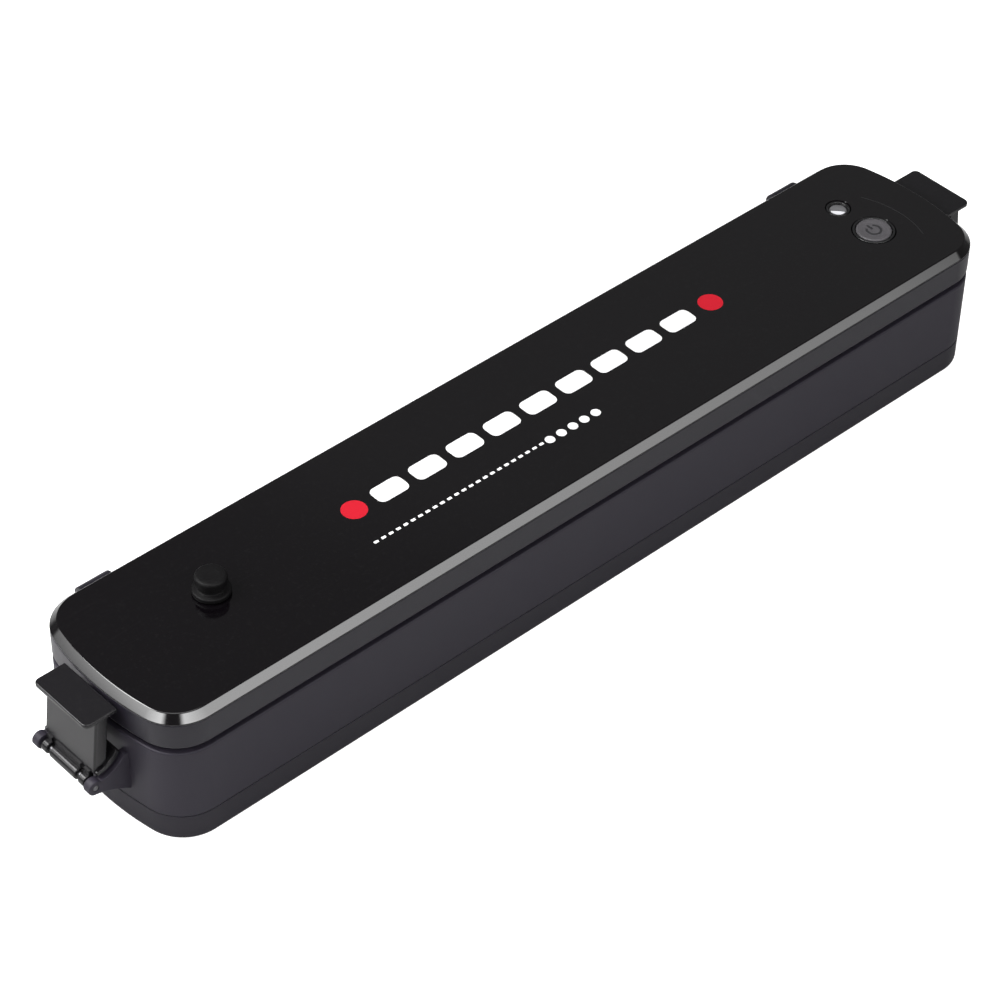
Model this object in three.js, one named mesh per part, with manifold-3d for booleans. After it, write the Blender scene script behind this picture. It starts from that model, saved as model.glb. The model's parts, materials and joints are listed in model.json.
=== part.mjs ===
// A compact vacuum sealer for food bags: a long housing with a vacuum chamber and a heating bar on its deck,
// a lid on two rear hinges, and a latch lever at each end that clamps the lid down.
// Millimetres. +X runs along the length to the end with the start button, -Y is the front, where the bag goes
// in, +Y is the hinge side and +Z is up. The origin is on the table, in the middle of the outer box.

import * as THREE from "three";
import { mergeVertices } from "three/addons/utils/BufferGeometryUtils.js";
import Module from "manifold-3d";

const wasm = await Module();
wasm.setup();

// ---------------------------------------------------------------- driving dimensions

// Housing outline, seen from above
const LENGTH = 360;
const WIDTH = 67.4;
const END_BULGE = 5.5;
const CORNER_RADIUS = 15.1;

// Heights, one on top of the other
const FOOT_STANDOFF = 1;
const BASE_HEIGHT = 10;
const BODY_HEIGHT = 27.1;
const LID_GAP = 2;
const LID_HEIGHT = 9.7;
const PANEL_HEIGHT = 3;

// Walls, edges and clearances
const WALL = 2.2;
const COVER_THICKNESS = 1.8;
const PANEL_CHAMFER = 2.4;
const BASE_EDGE = 2.6;
const SEAM_GAP = 0.3;
const FIT = 0.3;
const RUNNING_FIT = 0.15;
const COVER_ABOVE_LID_EDGE = 0.9;
const DECK_LEDGE = 1.5;

// Vacuum chamber in the deck and the foam gaskets around it, which fill the deck behind the heating bar
const CHAMBER_END_INSET = 34;
const CHAMBER_WALL = 1.8;
const TRAY_FLANGE = 2.5;
const TRAY_FLANGE_THICKNESS = 1.2;
const PUMP_HEADROOM = 1.4;
const GASKET_MARGIN = 1.6;
const GASKET_WIDTH = 4.5;
const GASKET_GROOVE = 1.2;
const GASKET_REAR_INSET = 12.6;
const GASKET_TO_SEAL = 4.9;
const GASKET_SPLIT_DROP = 0.35;
const COVER_GROOVE = 0.9;

// Heating bar in front of the chamber
const SEAL_END_INSET = 30;
const SEAL_WIDTH = 9;
const SEAL_FRONT_OFFSET = 13.2;
const SEAL_CHANNEL_DEPTH = 5;
const SEAL_CHANNEL_WALL = 1.5;
const HEATER_WIDTH = 3;
const FOIL = 0.25;
const TERMINAL_RADIUS = 1.6;

// Rear hinges
const HINGE_INSET = 29;
const HINGE_OFFSET = 2.9;
const HINGE_ABOVE_LID_EDGE = 2.9;
const HINGE_KNUCKLE_WIDTH = 12;
const HINGE_KNUCKLE_RADIUS = 3.85;
const HINGE_EAR_WIDTH = 4;
const HINGE_EAR_RADIUS = 2.6;
const HINGE_PIN_RADIUS = 1.2;

// Latch levers, measured outwards from the housing's end
const LATCH_WIDTH = 24;
const LATCH_TAB_REACH = 12.2;
const LATCH_TAB_THICKNESS = 1.6;
const LATCH_TAB_BELOW_SHOULDER = 0.6;
const LATCH_TAB_CORNER = 2;
const LATCH_TAB_OVERHANG = 0.8;
const LATCH_PLATE_REACH = 7.7;
const LATCH_PLATE_LEAN = 2.6;
const LATCH_PLATE = 1.9;
const LATCH_SIDE = 1.4;
const LATCH_SIDE_DEPTH = 4.5;
const LATCH_FLOOR = 1.4;
const LATCH_FLOOR_WIDTH = 26;
const LATCH_FLOOR_RISE = 8;
const LATCH_AXLE_REACH = 11.4;
const LATCH_AXLE_HEIGHT = 24;
const LATCH_AXLE_RADIUS = 1;
const LATCH_KNUCKLE_RADIUS = 2.1;
const LATCH_ARM = 3;
const LATCH_ARM_RADIUS = 2.6;
const HOOK_WIDTH = 8;
const HOOK_METAL = 0.9;
const CATCH_WIDTH = 12;
const CATCH_DEPTH = 1.1;

// Controls on the lid, from the housing's ends and its long centre line
const BUTTON_INSET = 29;
const BUTTON_Y = -4.8;
const BUTTON_RADIUS = 6.2;
const BUTTON_TRAVEL = 0.8;
const BUTTON_PROUD = 0.4;
const BEZEL_WIDTH = 0.9;
const WINDOW_Y = 12;
const WINDOW_RADIUS = 4.2;
const VALVE_INSET = 48.6;
const VALVE_Y = 4.7;
const VALVE_FLANGE_RADIUS = 6.15;
const VALVE_CAP_RADIUS = 5.15;
const VALVE_WAIST_RADIUS = 3.9;
const VALVE_STEM_RADIUS = 1.9;
const VALVE_HEIGHT = 7.2;
const VALVE_SEAT_WALL = 1.4;

// Fastenings and feet
const SCREW_END_INSET = 21;
const SCREW_SIDE_INSET = 12.7;
const SCREW_RADIUS = 1.25;
const SCREW_HEAD_RADIUS = 2.8;
const BOSS_RADIUS = 3.4;
const FOOT_END_INSET = 42;
const FOOT_SIDE_INSET = 12.7;
const FOOT_RADIUS = 5;
const FOOT_RECESS = 1.2;
const FOOT_BEVEL = 0.6;

// Pump, motor and boards inside
const PUMP_X = -68;
const PUMP_SIZE = 20;
const PUMP_LENGTH = 24;
const MOTOR_RADIUS = 10;
const MOTOR_LENGTH = 30;
const SADDLE_FLOOR = 0.9;
const SHAFT_FORWARD = 3;
const SHAFT_RADIUS = 1;
const ECCENTRIC_OFFSET = 1.2;
const HOSE_RADIUS = 2.5;
const NOZZLE_X = -28;
const NOZZLE_LENGTH = 6;
const BOARD_LENGTH = 100;
const BOARD_WIDTH = 44;
const BOARD_X = 62;
const BOARD_THICKNESS = 1.6;
const BOARD_STANDOFF = 4;
const POST_RADIUS = 2.6;
const POST_INSET = 4;
const CAPACITOR_RADIUS = 5.4;
const LEAD_RADIUS = 0.9;
const SOCKET_X = 100;
const SOCKET_WIDTH = 19;
const SOCKET_HEIGHT = 10;
const SOCKET_DEPTH = 12;
const SOCKET_ABOVE_SEAM = 10;

// ---------------------------------------------------------------- worked-out places

const BASE_Z = FOOT_STANDOFF;
const SEAM_Z = BASE_Z + BASE_HEIGHT;
const DECK_Z = SEAM_Z + BODY_HEIGHT;
const LID_Z = DECK_Z + LID_GAP;
const SHOULDER_Z = LID_Z + LID_HEIGHT;
const TOP_Z = SHOULDER_Z + PANEL_HEIGHT;
const FLOOR_Z = BASE_Z + WALL;
const COVER_Z = LID_Z + COVER_ABOVE_LID_EDGE;
const COVER_TOP = COVER_Z + COVER_THICKNESS;

const END_X = LENGTH / 2;
const HALF_WIDTH = WIDTH / 2;
const END_RADIUS = (HALF_WIDTH ** 2 + END_BULGE ** 2) / (2 * END_BULGE);
const END_CENTRE = END_X - END_RADIUS;
const CORNER_Y = HALF_WIDTH - CORNER_RADIUS;
const CORNER_X = END_CENTRE + Math.sqrt((END_RADIUS - CORNER_RADIUS) ** 2 - CORNER_Y ** 2);
const CORNER_TURN = Math.asin(CORNER_Y / (END_RADIUS - CORNER_RADIUS));

const SEAL_LENGTH = LENGTH - 2 * SEAL_END_INSET;
const SEAL_Y = -HALF_WIDTH + SEAL_FRONT_OFFSET;
const SEAL_FLOOR = DECK_Z - SEAL_CHANNEL_DEPTH;

const GASKET_FRONT = SEAL_Y + SEAL_WIDTH / 2 + GASKET_TO_SEAL;
const GASKET_REAR = HALF_WIDTH - GASKET_REAR_INSET;
const GASKET_OUTER = GASKET_REAR - GASKET_FRONT;
const GASKET_INNER = GASKET_OUTER - 2 * GASKET_WIDTH;
const GASKET_BASE = DECK_Z - GASKET_GROOVE;
const GASKET_SPLIT = (DECK_Z + COVER_Z) / 2 - GASKET_SPLIT_DROP;
const CHAMBER_LENGTH = LENGTH - 2 * CHAMBER_END_INSET;
const CHAMBER_WIDTH = GASKET_INNER - 2 * GASKET_MARGIN;
const CHAMBER_Y = (GASKET_FRONT + GASKET_REAR) / 2;

const HINGE_X = END_X - HINGE_INSET;
const HINGE_Y = HALF_WIDTH + HINGE_OFFSET;
const HINGE_Z = LID_Z + HINGE_ABOVE_LID_EDGE;
const REAR_Y = HINGE_Y + HINGE_KNUCKLE_RADIUS;

const LATCH_TAB_Z = SHOULDER_Z - LATCH_TAB_BELOW_SHOULDER;
const LATCH_AXLE_X = END_X + LATCH_AXLE_REACH;
const LATCH_ARM_INNER = LATCH_FLOOR_WIDTH / 2 - 1.8;
const LATCH_ARM_OUTER = LATCH_ARM_INNER + LATCH_ARM;
const LATCH_PLATE_FOOT = LATCH_AXLE_HEIGHT + 3.2;
const HOOK_FOOT = LATCH_AXLE_HEIGHT + 12;

const BUTTON_X = END_X - BUTTON_INSET;
const VALVE_X = -END_X + VALVE_INSET;
const SCREW_X = END_X - SCREW_END_INSET;
const SCREW_Y = HALF_WIDTH - SCREW_SIDE_INSET;
const FOOT_X = END_X - FOOT_END_INSET;
const FOOT_Y = HALF_WIDTH - FOOT_SIDE_INSET;
const SHAFT_Y = CHAMBER_Y - SHAFT_FORWARD;
const SHAFT_Z = FLOOR_Z + FIT + SADDLE_FLOOR + MOTOR_RADIUS;
const HEAD_TOP = SHAFT_Z + PUMP_SIZE / 2;
const DRIVE_TOP = SHAFT_Z + Math.max(MOTOR_RADIUS, PUMP_SIZE / 2);
const CHAMBER_FLOOR = DRIVE_TOP + PUMP_HEADROOM + CHAMBER_WALL;
const BOARD_Z = FLOOR_Z + BOARD_STANDOFF;
const BOARD_TOP = BOARD_Z + BOARD_THICKNESS;
const CONTROL_Z = COVER_TOP + FIT;
const SOCKET_Z = SEAM_Z + SOCKET_ABOVE_SEAM;
const SEAT_RADIUS = VALVE_STEM_RADIUS + FIT + VALVE_SEAT_WALL;
const DECK_UNDERSIDE = DECK_Z - WALL;
const TRAY_TOP = DECK_UNDERSIDE - FIT;

// ---------------------------------------------------------------- materials

const material = (color, roughness, metalness = 0) =>
  new THREE.MeshStandardMaterial({ color, roughness, metalness });

const housingPlastic = material(0x3d3b42, 0.55);
const basePlastic = material(0x37353b, 0.6);
const lidPlastic = material(0x39373d, 0.4);
const glossPanel = material(0x1e1c1e, 0.12);
const latchPlastic = material(0x2b292d, 0.45);
const buttonPlastic = material(0x6e6c70, 0.5);
const clearPlastic = material(0xe6e6ea, 0.2);
const rubber = material(0x19181a, 0.75);
const foam = material(0x2c2c2e, 0.95);
const silicone = material(0x8a2a22, 0.7);
const steel = material(0xb9bbbd, 0.3, 1);
const nichrome = material(0x8d8a86, 0.4, 1);
const tapeCloth = material(0x8c6f4a, 0.6);
const phenolic = material(0x4a3526, 0.7);
const circuit = material(0x1f5a34, 0.6);
const copper = material(0xa8622f, 0.35, 1);
const pumpPlastic = material(0x202124, 0.5);
const hoseSilicone = material(0xd9d9d4, 0.4);
const wireInsulation = material(0xa3262b, 0.5);

// ---------------------------------------------------------------- solids

const ARC_STEPS = 3;
const ROUND = 16;

function solid(geometry) {
  geometry.deleteAttribute("normal");
  geometry.deleteAttribute("uv");
  const merged = mergeVertices(geometry, 1e-4);
  return new wasm.Manifold(
    new wasm.Mesh({
      numProp: 3,
      vertProperties: merged.attributes.position.array,
      triVerts: new Uint32Array(merged.index.array),
    }),
  );
}

function geometryOf(body) {
  const mesh = body.getMesh();
  const geometry = new THREE.BufferGeometry();
  geometry.setAttribute("position", new THREE.BufferAttribute(mesh.vertProperties, 3));
  geometry.setIndex(new THREE.BufferAttribute(mesh.triVerts, 1));
  geometry.computeVertexNormals();
  return geometry;
}

const join = (...bodies) => bodies.reduce((all, body) => all.add(body));

const cut = (body, ...tools) => tools.reduce((rest, tool) => rest.subtract(tool), body);

// The housing's outline, moved inwards by inset: straight long sides, round corners and bulged ends.
function housingOutline(inset) {
  const side = HALF_WIDTH - inset;
  const corner = CORNER_RADIUS - inset;
  const end = END_RADIUS - inset;
  const shape = new THREE.Shape();
  shape.moveTo(-CORNER_X, -side);
  shape.lineTo(CORNER_X, -side);
  shape.absarc(CORNER_X, -CORNER_Y, corner, -Math.PI / 2, -CORNER_TURN);
  shape.absarc(END_CENTRE, 0, end, -CORNER_TURN, CORNER_TURN);
  shape.absarc(CORNER_X, CORNER_Y, corner, CORNER_TURN, Math.PI / 2);
  shape.lineTo(-CORNER_X, side);
  shape.absarc(-CORNER_X, CORNER_Y, corner, Math.PI / 2, Math.PI - CORNER_TURN);
  shape.absarc(-END_CENTRE, 0, end, Math.PI - CORNER_TURN, Math.PI + CORNER_TURN);
  shape.absarc(-CORNER_X, -CORNER_Y, corner, Math.PI + CORNER_TURN, 1.5 * Math.PI);
  return shape;
}

// The outline's corners at one height, each stated once.
function ringAt(z, inset) {
  const points = housingOutline(inset).getPoints(ARC_STEPS);
  const previous = (i) => points[(i + points.length - 1) % points.length];
  return points
    .filter((p, i) => p.distanceTo(previous(i)) > 1e-4)
    .map((p) => new THREE.Vector3(p.x, p.y, z));
}

// A closed solid through the housing's outline at several heights, each given as [height, inset].
function loft(levels) {
  const rings = levels.map(([z, inset]) => ringAt(z, inset));
  const count = rings[0].length;
  const last = (rings.length - 1) * count;
  const indices = [];
  for (let level = 0; level < last; level += count) {
    for (let i = 0; i < count; i++) {
      const a = level + i;
      const b = level + ((i + 1) % count);
      indices.push(a, b, b + count, a, b + count, a + count);
    }
  }
  const flat = rings[0].map((p) => new THREE.Vector2(p.x, p.y));
  for (const [a, b, c] of THREE.ShapeUtils.triangulateShape(flat, [])) {
    indices.push(c, b, a, last + a, last + b, last + c);
  }
  const geometry = new THREE.BufferGeometry().setFromPoints(rings.flat());
  geometry.setIndex(indices);
  return solid(geometry);
}

function prism(shape, z0, z1, steps = ARC_STEPS) {
  const options = { depth: z1 - z0, bevelEnabled: false, curveSegments: steps };
  return solid(new THREE.ExtrudeGeometry(shape, options).translate(0, 0, z0));
}

// A shape drawn in X and Z, extruded from y0 to y1.
function prismAlongY(shape, y0, y1, steps = ARC_STEPS) {
  const options = { depth: y1 - y0, bevelEnabled: false, curveSegments: steps };
  const geometry = new THREE.ExtrudeGeometry(shape, options);
  return solid(geometry.rotateX(Math.PI / 2).translate(0, y1, 0));
}

// A shape drawn in Y and Z, extruded from x0 to x1.
function prismAlongX(shape, x0, x1, steps = ARC_STEPS) {
  const options = { depth: x1 - x0, bevelEnabled: false, curveSegments: steps };
  const geometry = new THREE.ExtrudeGeometry(shape, options);
  return solid(geometry.rotateX(Math.PI / 2).rotateZ(Math.PI / 2).translate(x0, 0, 0));
}

function box([x0, x1], [y0, y1], [z0, z1]) {
  const geometry = new THREE.BoxGeometry(x1 - x0, y1 - y0, z1 - z0);
  return solid(geometry.translate((x0 + x1) / 2, (y0 + y1) / 2, (z0 + z1) / 2));
}

function rodZ(radius, x, y, z0, z1, sides = ROUND) {
  const geometry = new THREE.CylinderGeometry(radius, radius, z1 - z0, sides);
  return solid(geometry.rotateX(Math.PI / 2).translate(x, y, (z0 + z1) / 2));
}

function rodY(radius, x, z, y0, y1, sides = ROUND) {
  const geometry = new THREE.CylinderGeometry(radius, radius, y1 - y0, sides);
  return solid(geometry.translate(x, (y0 + y1) / 2, z));
}

function rodX(radius, y, z, x0, x1, sides = ROUND) {
  const geometry = new THREE.CylinderGeometry(radius, radius, x1 - x0, sides);
  return solid(geometry.rotateZ(Math.PI / 2).translate((x0 + x1) / 2, y, z));
}

// A round piece about a vertical line at x, y. The profile is a list of [radius, height], from the bottom up.
function turned(profile, x, y, sides = ROUND) {
  const points = profile.map(([r, z]) => new THREE.Vector2(r, z));
  const geometry = new THREE.LatheGeometry(points, sides);
  return solid(geometry.rotateX(Math.PI / 2).translate(x, y, 0));
}

// A round tube or wire along a smooth curve through the points.
function tube(points, radius, steps, sides = 8) {
  const curve = new THREE.CatmullRomCurve3(points.map((p) => new THREE.Vector3(...p)));
  const section = new THREE.Shape();
  section.moveTo(radius, 0);
  for (let i = 1; i < sides; i++) {
    const turn = (2 * Math.PI * i) / sides;
    section.lineTo(radius * Math.cos(turn), radius * Math.sin(turn));
  }
  return solid(new THREE.ExtrudeGeometry(section, { steps, extrudePath: curve }));
}

// A long slot with round ends, centred on x = 0.
function slot(length, width, y) {
  const shape = new THREE.Shape();
  const middle = (length - width) / 2;
  shape.moveTo(-middle, y - width / 2);
  shape.lineTo(middle, y - width / 2);
  shape.absarc(middle, y, width / 2, -Math.PI / 2, Math.PI / 2);
  shape.lineTo(-middle, y + width / 2);
  shape.absarc(-middle, y, width / 2, Math.PI / 2, 1.5 * Math.PI);
  return shape;
}

function roundedBox([x0, x1], [y0, y1], [z0, z1], radius) {
  const shape = new THREE.Shape();
  shape.moveTo(x0 + radius, y0);
  shape.lineTo(x1 - radius, y0);
  shape.absarc(x1 - radius, y0 + radius, radius, -Math.PI / 2, 0);
  shape.lineTo(x1, y1 - radius);
  shape.absarc(x1 - radius, y1 - radius, radius, 0, Math.PI / 2);
  shape.lineTo(x0 + radius, y1);
  shape.absarc(x0 + radius, y1 - radius, radius, Math.PI / 2, Math.PI);
  shape.lineTo(x0, y0 + radius);
  shape.absarc(x0 + radius, y0 + radius, radius, Math.PI, 1.5 * Math.PI);
  return prism(shape, z0, z1, 2);
}

const around = (middle, size) => [middle - size / 2, middle + size / 2];

const corners = [
  ["front_left", -1, -1],
  ["front_right", 1, -1],
  ["rear_left", -1, 1],
  ["rear_right", 1, 1],
];

const sides = [
  ["left", -1],
  ["right", 1],
];

const turnRound = (body) => body.rotate([0, 0, 180]);

// ---------------------------------------------------------------- scene graph

const part = new THREE.Group();
part.position.y = (HALF_WIDTH - REAR_Y) / 2;
const housing = new THREE.Group();
const lid = new THREE.Group();
const pump = new THREE.Group();
part.add(housing, lid, pump);

function piece(group, name, body, look) {
  const mesh = new THREE.Mesh(geometryOf(body), look);
  mesh.name = name;
  group.add(mesh);
}

// ---------------------------------------------------------------- base cover, screws and feet

const HEAD_SUNK = 1.2;
const HEAD_Z = BASE_Z + HEAD_SUNK;
const HEAD_HEIGHT = 1.6;
const COUNTERBORE = HEAD_HEIGHT + HEAD_SUNK + FIT;
const LIP_HEIGHT = 2;
const LIP_WALL = 1.2;

function baseCover() {
  const outside = loft([
    [BASE_Z, BASE_EDGE],
    [BASE_Z + 0.3 * BASE_EDGE, 0.3 * BASE_EDGE],
    [BASE_Z + BASE_EDGE, 0],
    [SEAM_Z - SEAM_GAP / 2, 0],
  ]);
  const inside = loft([
    [FLOOR_Z, BASE_EDGE + WALL],
    [FLOOR_Z + BASE_EDGE, WALL],
    [SEAM_Z + 1, WALL],
  ]);
  const lip = cut(
    loft([
      [SEAM_Z - 4, WALL - 1],
      [SEAM_Z - SEAM_GAP, WALL - 1],
      [SEAM_Z - SEAM_GAP, WALL + FIT],
      [SEAM_Z + LIP_HEIGHT, WALL + FIT],
    ]),
    loft([
      [SEAM_Z - 5, WALL + FIT + LIP_WALL],
      [SEAM_Z + LIP_HEIGHT + 1, WALL + FIT + LIP_WALL],
    ]),
  );
  let cover = join(cut(outside, inside), lip);
  for (const [, sx, sy] of corners) {
    const x = sx * SCREW_X;
    const y = sy * SCREW_Y;
    cover = cover.add(rodZ(BOSS_RADIUS + LIP_WALL, x, y, BASE_Z + 1, SEAM_Z - SEAM_GAP / 2));
    cover = cut(
      cover,
      rodZ(SCREW_HEAD_RADIUS + FIT, x, y, BASE_Z - 1, BASE_Z + COUNTERBORE),
      rodZ(SCREW_RADIUS + FIT, x, y, BASE_Z, SEAM_Z + 1),
      rodZ(FOOT_RADIUS + FIT, sx * FOOT_X, sy * FOOT_Y, BASE_Z - 1, BASE_Z + FOOT_RECESS),
    );
  }
  for (const dx of [-1, 1]) {
    for (const dy of [-1, 1]) {
      const x = BOARD_X + dx * (BOARD_LENGTH / 2 - POST_INSET);
      const y = dy * (BOARD_WIDTH / 2 - POST_INSET);
      cover = cover.add(rodZ(POST_RADIUS, x, y, FLOOR_Z - 1, BOARD_Z - FIT, 12));
    }
  }
  return cover;
}

function foot(sx, sy) {
  const bottom = [
    [0, 0],
    [FOOT_RADIUS - FOOT_BEVEL, 0],
    [FOOT_RADIUS, FOOT_BEVEL],
    [FOOT_RADIUS, BASE_Z + FOOT_RECESS - FIT],
    [0, BASE_Z + FOOT_RECESS - FIT],
  ];
  return turned(bottom, sx * FOOT_X, sy * FOOT_Y);
}

// A self-tapping screw with its head at the bottom and a crosswise slot in it.
function screw(x, y, headZ, length) {
  const outside = [
    [0, headZ],
    [SCREW_HEAD_RADIUS, headZ + 0.5],
    [SCREW_HEAD_RADIUS, headZ + HEAD_HEIGHT],
    [SCREW_RADIUS, headZ + HEAD_HEIGHT],
    [SCREW_RADIUS, headZ + HEAD_HEIGHT + length - 1],
    [0, headZ + HEAD_HEIGHT + length],
  ];
  const bar = (lx, ly) => box(around(x, lx), around(y, ly), [headZ - 0.5, headZ + 0.9]);
  return cut(turned(outside, x, y, 14), bar(3, 0.7), bar(0.7, 3));
}

piece(housing, "base_cover", baseCover(), basePlastic);
for (const [corner, sx, sy] of corners) {
  piece(housing, `foot_${corner}`, foot(sx, sy), rubber);
  const fastener = screw(sx * SCREW_X, sy * SCREW_Y, HEAD_Z, 16);
  piece(housing, `base_screw_${corner}`, fastener, steel);
}

// ---------------------------------------------------------------- housing wall, deck and chamber tray

// The curved edge between a latch's floor and its bracket arm, in X and Z, moved by dx and dz.
function latchSweep(dx, dz) {
  return {
    outer: [LATCH_AXLE_X - 1.6 + dx, LATCH_AXLE_HEIGHT + 2.9 + dz],
    bend: [END_X + 4 + dx, LATCH_AXLE_HEIGHT + 3.2 + dz],
    inner: [END_X + 1 + dx, LATCH_AXLE_HEIGHT + LATCH_FLOOR_RISE + dz],
  };
}

function latchArm(y0, y1) {
  const { outer, bend, inner } = latchSweep(-0.6, -1.2);
  const shape = new THREE.Shape();
  shape.moveTo(END_X - WALL, inner[1] - 0.2);
  shape.lineTo(...inner);
  shape.quadraticCurveTo(...bend, ...outer);
  shape.lineTo(LATCH_AXLE_X, LATCH_AXLE_HEIGHT);
  shape.lineTo(LATCH_AXLE_X, LATCH_AXLE_HEIGHT - LATCH_ARM_RADIUS);
  shape.quadraticCurveTo(END_X + 5, LATCH_AXLE_HEIGHT - 4, END_X - WALL, LATCH_AXLE_HEIGHT - 9);
  const arm = prismAlongY(shape, y0, y1);
  const eye = rodY(LATCH_ARM_RADIUS, LATCH_AXLE_X, LATCH_AXLE_HEIGHT, y0, y1);
  const hole = rodY(LATCH_AXLE_RADIUS + 0.1, LATCH_AXLE_X, LATCH_AXLE_HEIGHT, y0 - 1, y1 + 1, 16);
  return cut(join(arm, eye), hole);
}

function latchBracket() {
  return join(
    latchArm(-LATCH_ARM_OUTER, -LATCH_ARM_INNER),
    latchArm(LATCH_ARM_INNER, LATCH_ARM_OUTER),
  );
}

function hingeEar(x0, x1) {
  const near = HINGE_Y - HINGE_EAR_RADIUS;
  const far = HINGE_Y + HINGE_EAR_RADIUS;
  const shape = new THREE.Shape();
  shape.moveTo(HALF_WIDTH - WALL / 2, DECK_Z - 13);
  shape.lineTo(HALF_WIDTH + 2, DECK_Z - 11.5);
  shape.quadraticCurveTo(far, DECK_Z - 9, far, DECK_Z - 5);
  shape.lineTo(far, HINGE_Z);
  shape.absarc(HINGE_Y, HINGE_Z, HINGE_EAR_RADIUS, 0, Math.PI);
  shape.lineTo(near, DECK_Z - FIT);
  shape.lineTo(HALF_WIDTH - WALL / 2, DECK_Z - FIT);
  const hole = rodX(HINGE_PIN_RADIUS + 0.1, HINGE_Y, HINGE_Z, x0 - 1, x1 + 1, 16);
  return cut(prismAlongX(shape, x0, x1), hole);
}

function hingeEars(x) {
  const inner = HINGE_KNUCKLE_WIDTH / 2 + FIT;
  return join(
    hingeEar(x - inner - HINGE_EAR_WIDTH, x - inner),
    hingeEar(x + inner, x + inner + HINGE_EAR_WIDTH),
  );
}

function gasketRing(extra, z0, z1) {
  const length = CHAMBER_LENGTH + GASKET_OUTER - CHAMBER_WIDTH;
  const inner = CHAMBER_LENGTH + GASKET_INNER - CHAMBER_WIDTH;
  return cut(
    prism(slot(length + 2 * extra, GASKET_OUTER + 2 * extra, CHAMBER_Y), z0, z1),
    prism(slot(inner - 2 * extra, GASKET_INNER - 2 * extra, CHAMBER_Y), z0 - 1, z1 + 1),
  );
}

// The wall of the housing, open above and below, with a ledge that the deck lies on.
function bodyShell() {
  const outside = loft([
    [SEAM_Z + SEAM_GAP / 2, 0],
    [DECK_Z, 0],
  ]);
  const inside = loft([
    [SEAM_Z - 1, WALL],
    [TRAY_TOP - DECK_LEDGE, WALL],
    [TRAY_TOP, WALL + DECK_LEDGE],
    [TRAY_TOP + FIT / 2, WALL + DECK_LEDGE],
    [TRAY_TOP + FIT / 2, WALL],
    [DECK_Z + 1, WALL],
  ]);
  const inlet = box(
    around(SOCKET_X, SOCKET_WIDTH + 2 * FIT),
    [HALF_WIDTH - WALL - 1, HALF_WIDTH + 1],
    around(SOCKET_Z, SOCKET_HEIGHT + 2 * FIT),
  );
  let shell = cut(outside, inside, inlet);
  for (const [, s] of sides) {
    shell = join(shell, hingeEars(s * HINGE_X));
  }
  return join(shell, latchBracket(), turnRound(latchBracket()));
}

const CHANNEL_LENGTH = SEAL_LENGTH + 2 * FIT + 4;
const CHANNEL_WIDTH = SEAL_WIDTH + 2 * FIT;

// The deck drops into the wall. It has the chamber's mouth, the gasket's groove and the heating bar's
// channel, and the bosses for the base's screws hang from it.
function deckPlate() {
  let deck = join(
    loft([
      [DECK_UNDERSIDE, WALL + FIT],
      [DECK_Z, WALL + FIT],
    ]),
    box(
      around(0, CHANNEL_LENGTH + 2 * SEAL_CHANNEL_WALL),
      around(SEAL_Y, CHANNEL_WIDTH + 2 * SEAL_CHANNEL_WALL),
      [SEAL_FLOOR - SEAL_CHANNEL_WALL, DECK_UNDERSIDE + 1],
    ),
  );
  for (const [, sx, sy] of corners) {
    const x = sx * SCREW_X;
    const y = sy * SCREW_Y;
    const boss = rodZ(BOSS_RADIUS, x, y, SEAM_Z + SEAM_GAP / 2, DECK_UNDERSIDE + 1);
    deck = cut(join(deck, boss), rodZ(SCREW_RADIUS + 0.2, x, y, SEAM_Z - 1, SEAM_Z + 16, 14));
  }
  const terminals = sides.map(([, s]) =>
    rodZ(TERMINAL_RADIUS, (s * SEAL_LENGTH) / 2, SEAL_Y, SEAL_FLOOR - 3, SEAL_FLOOR + 1, 12),
  );
  return cut(
    deck,
    prism(slot(CHAMBER_LENGTH, CHAMBER_WIDTH, CHAMBER_Y), DECK_UNDERSIDE - 1, DECK_Z + 1),
    box(around(0, CHANNEL_LENGTH), around(SEAL_Y, CHANNEL_WIDTH), [SEAL_FLOOR, DECK_Z + 1]),
    gasketRing(FIT / 2, GASKET_BASE, DECK_Z + 1),
    ...terminals,
  );
}

// The trough under the chamber's mouth, which catches liquid. Its flange lies against the deck's underside.
function chamberTray() {
  const trough = (wall, z0, z1) =>
    prism(slot(CHAMBER_LENGTH + 2 * wall, CHAMBER_WIDTH + 2 * wall, CHAMBER_Y), z0, z1);
  return cut(
    join(
      trough(CHAMBER_WALL, CHAMBER_FLOOR - CHAMBER_WALL, TRAY_TOP),
      trough(CHAMBER_WALL + TRAY_FLANGE, TRAY_TOP - TRAY_FLANGE_THICKNESS, TRAY_TOP),
    ),
    trough(0, CHAMBER_FLOOR, TRAY_TOP + 1),
    rodZ(HOSE_RADIUS + 0.5, NOZZLE_X, CHAMBER_Y, CHAMBER_FLOOR - 3, CHAMBER_FLOOR + 1),
  );
}

piece(housing, "body_shell", bodyShell(), housingPlastic);
piece(housing, "deck_plate", deckPlate(), housingPlastic);
piece(housing, "chamber_tray", chamberTray(), housingPlastic);

// ---------------------------------------------------------------- deck: gasket, heating bar and chamber

function sealStrip(width, z0, z1, length = SEAL_LENGTH) {
  return box(around(0, length), around(SEAL_Y, width), [z0, z1]);
}

const SEAL_TOP = DECK_Z + 0.2;
const TAPE_Z = SEAL_TOP - FOIL;
const HEATER_Z = TAPE_Z - 0.1 - FOIL;
const SEAL_BASE_TOP = HEATER_Z - 0.1;

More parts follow.
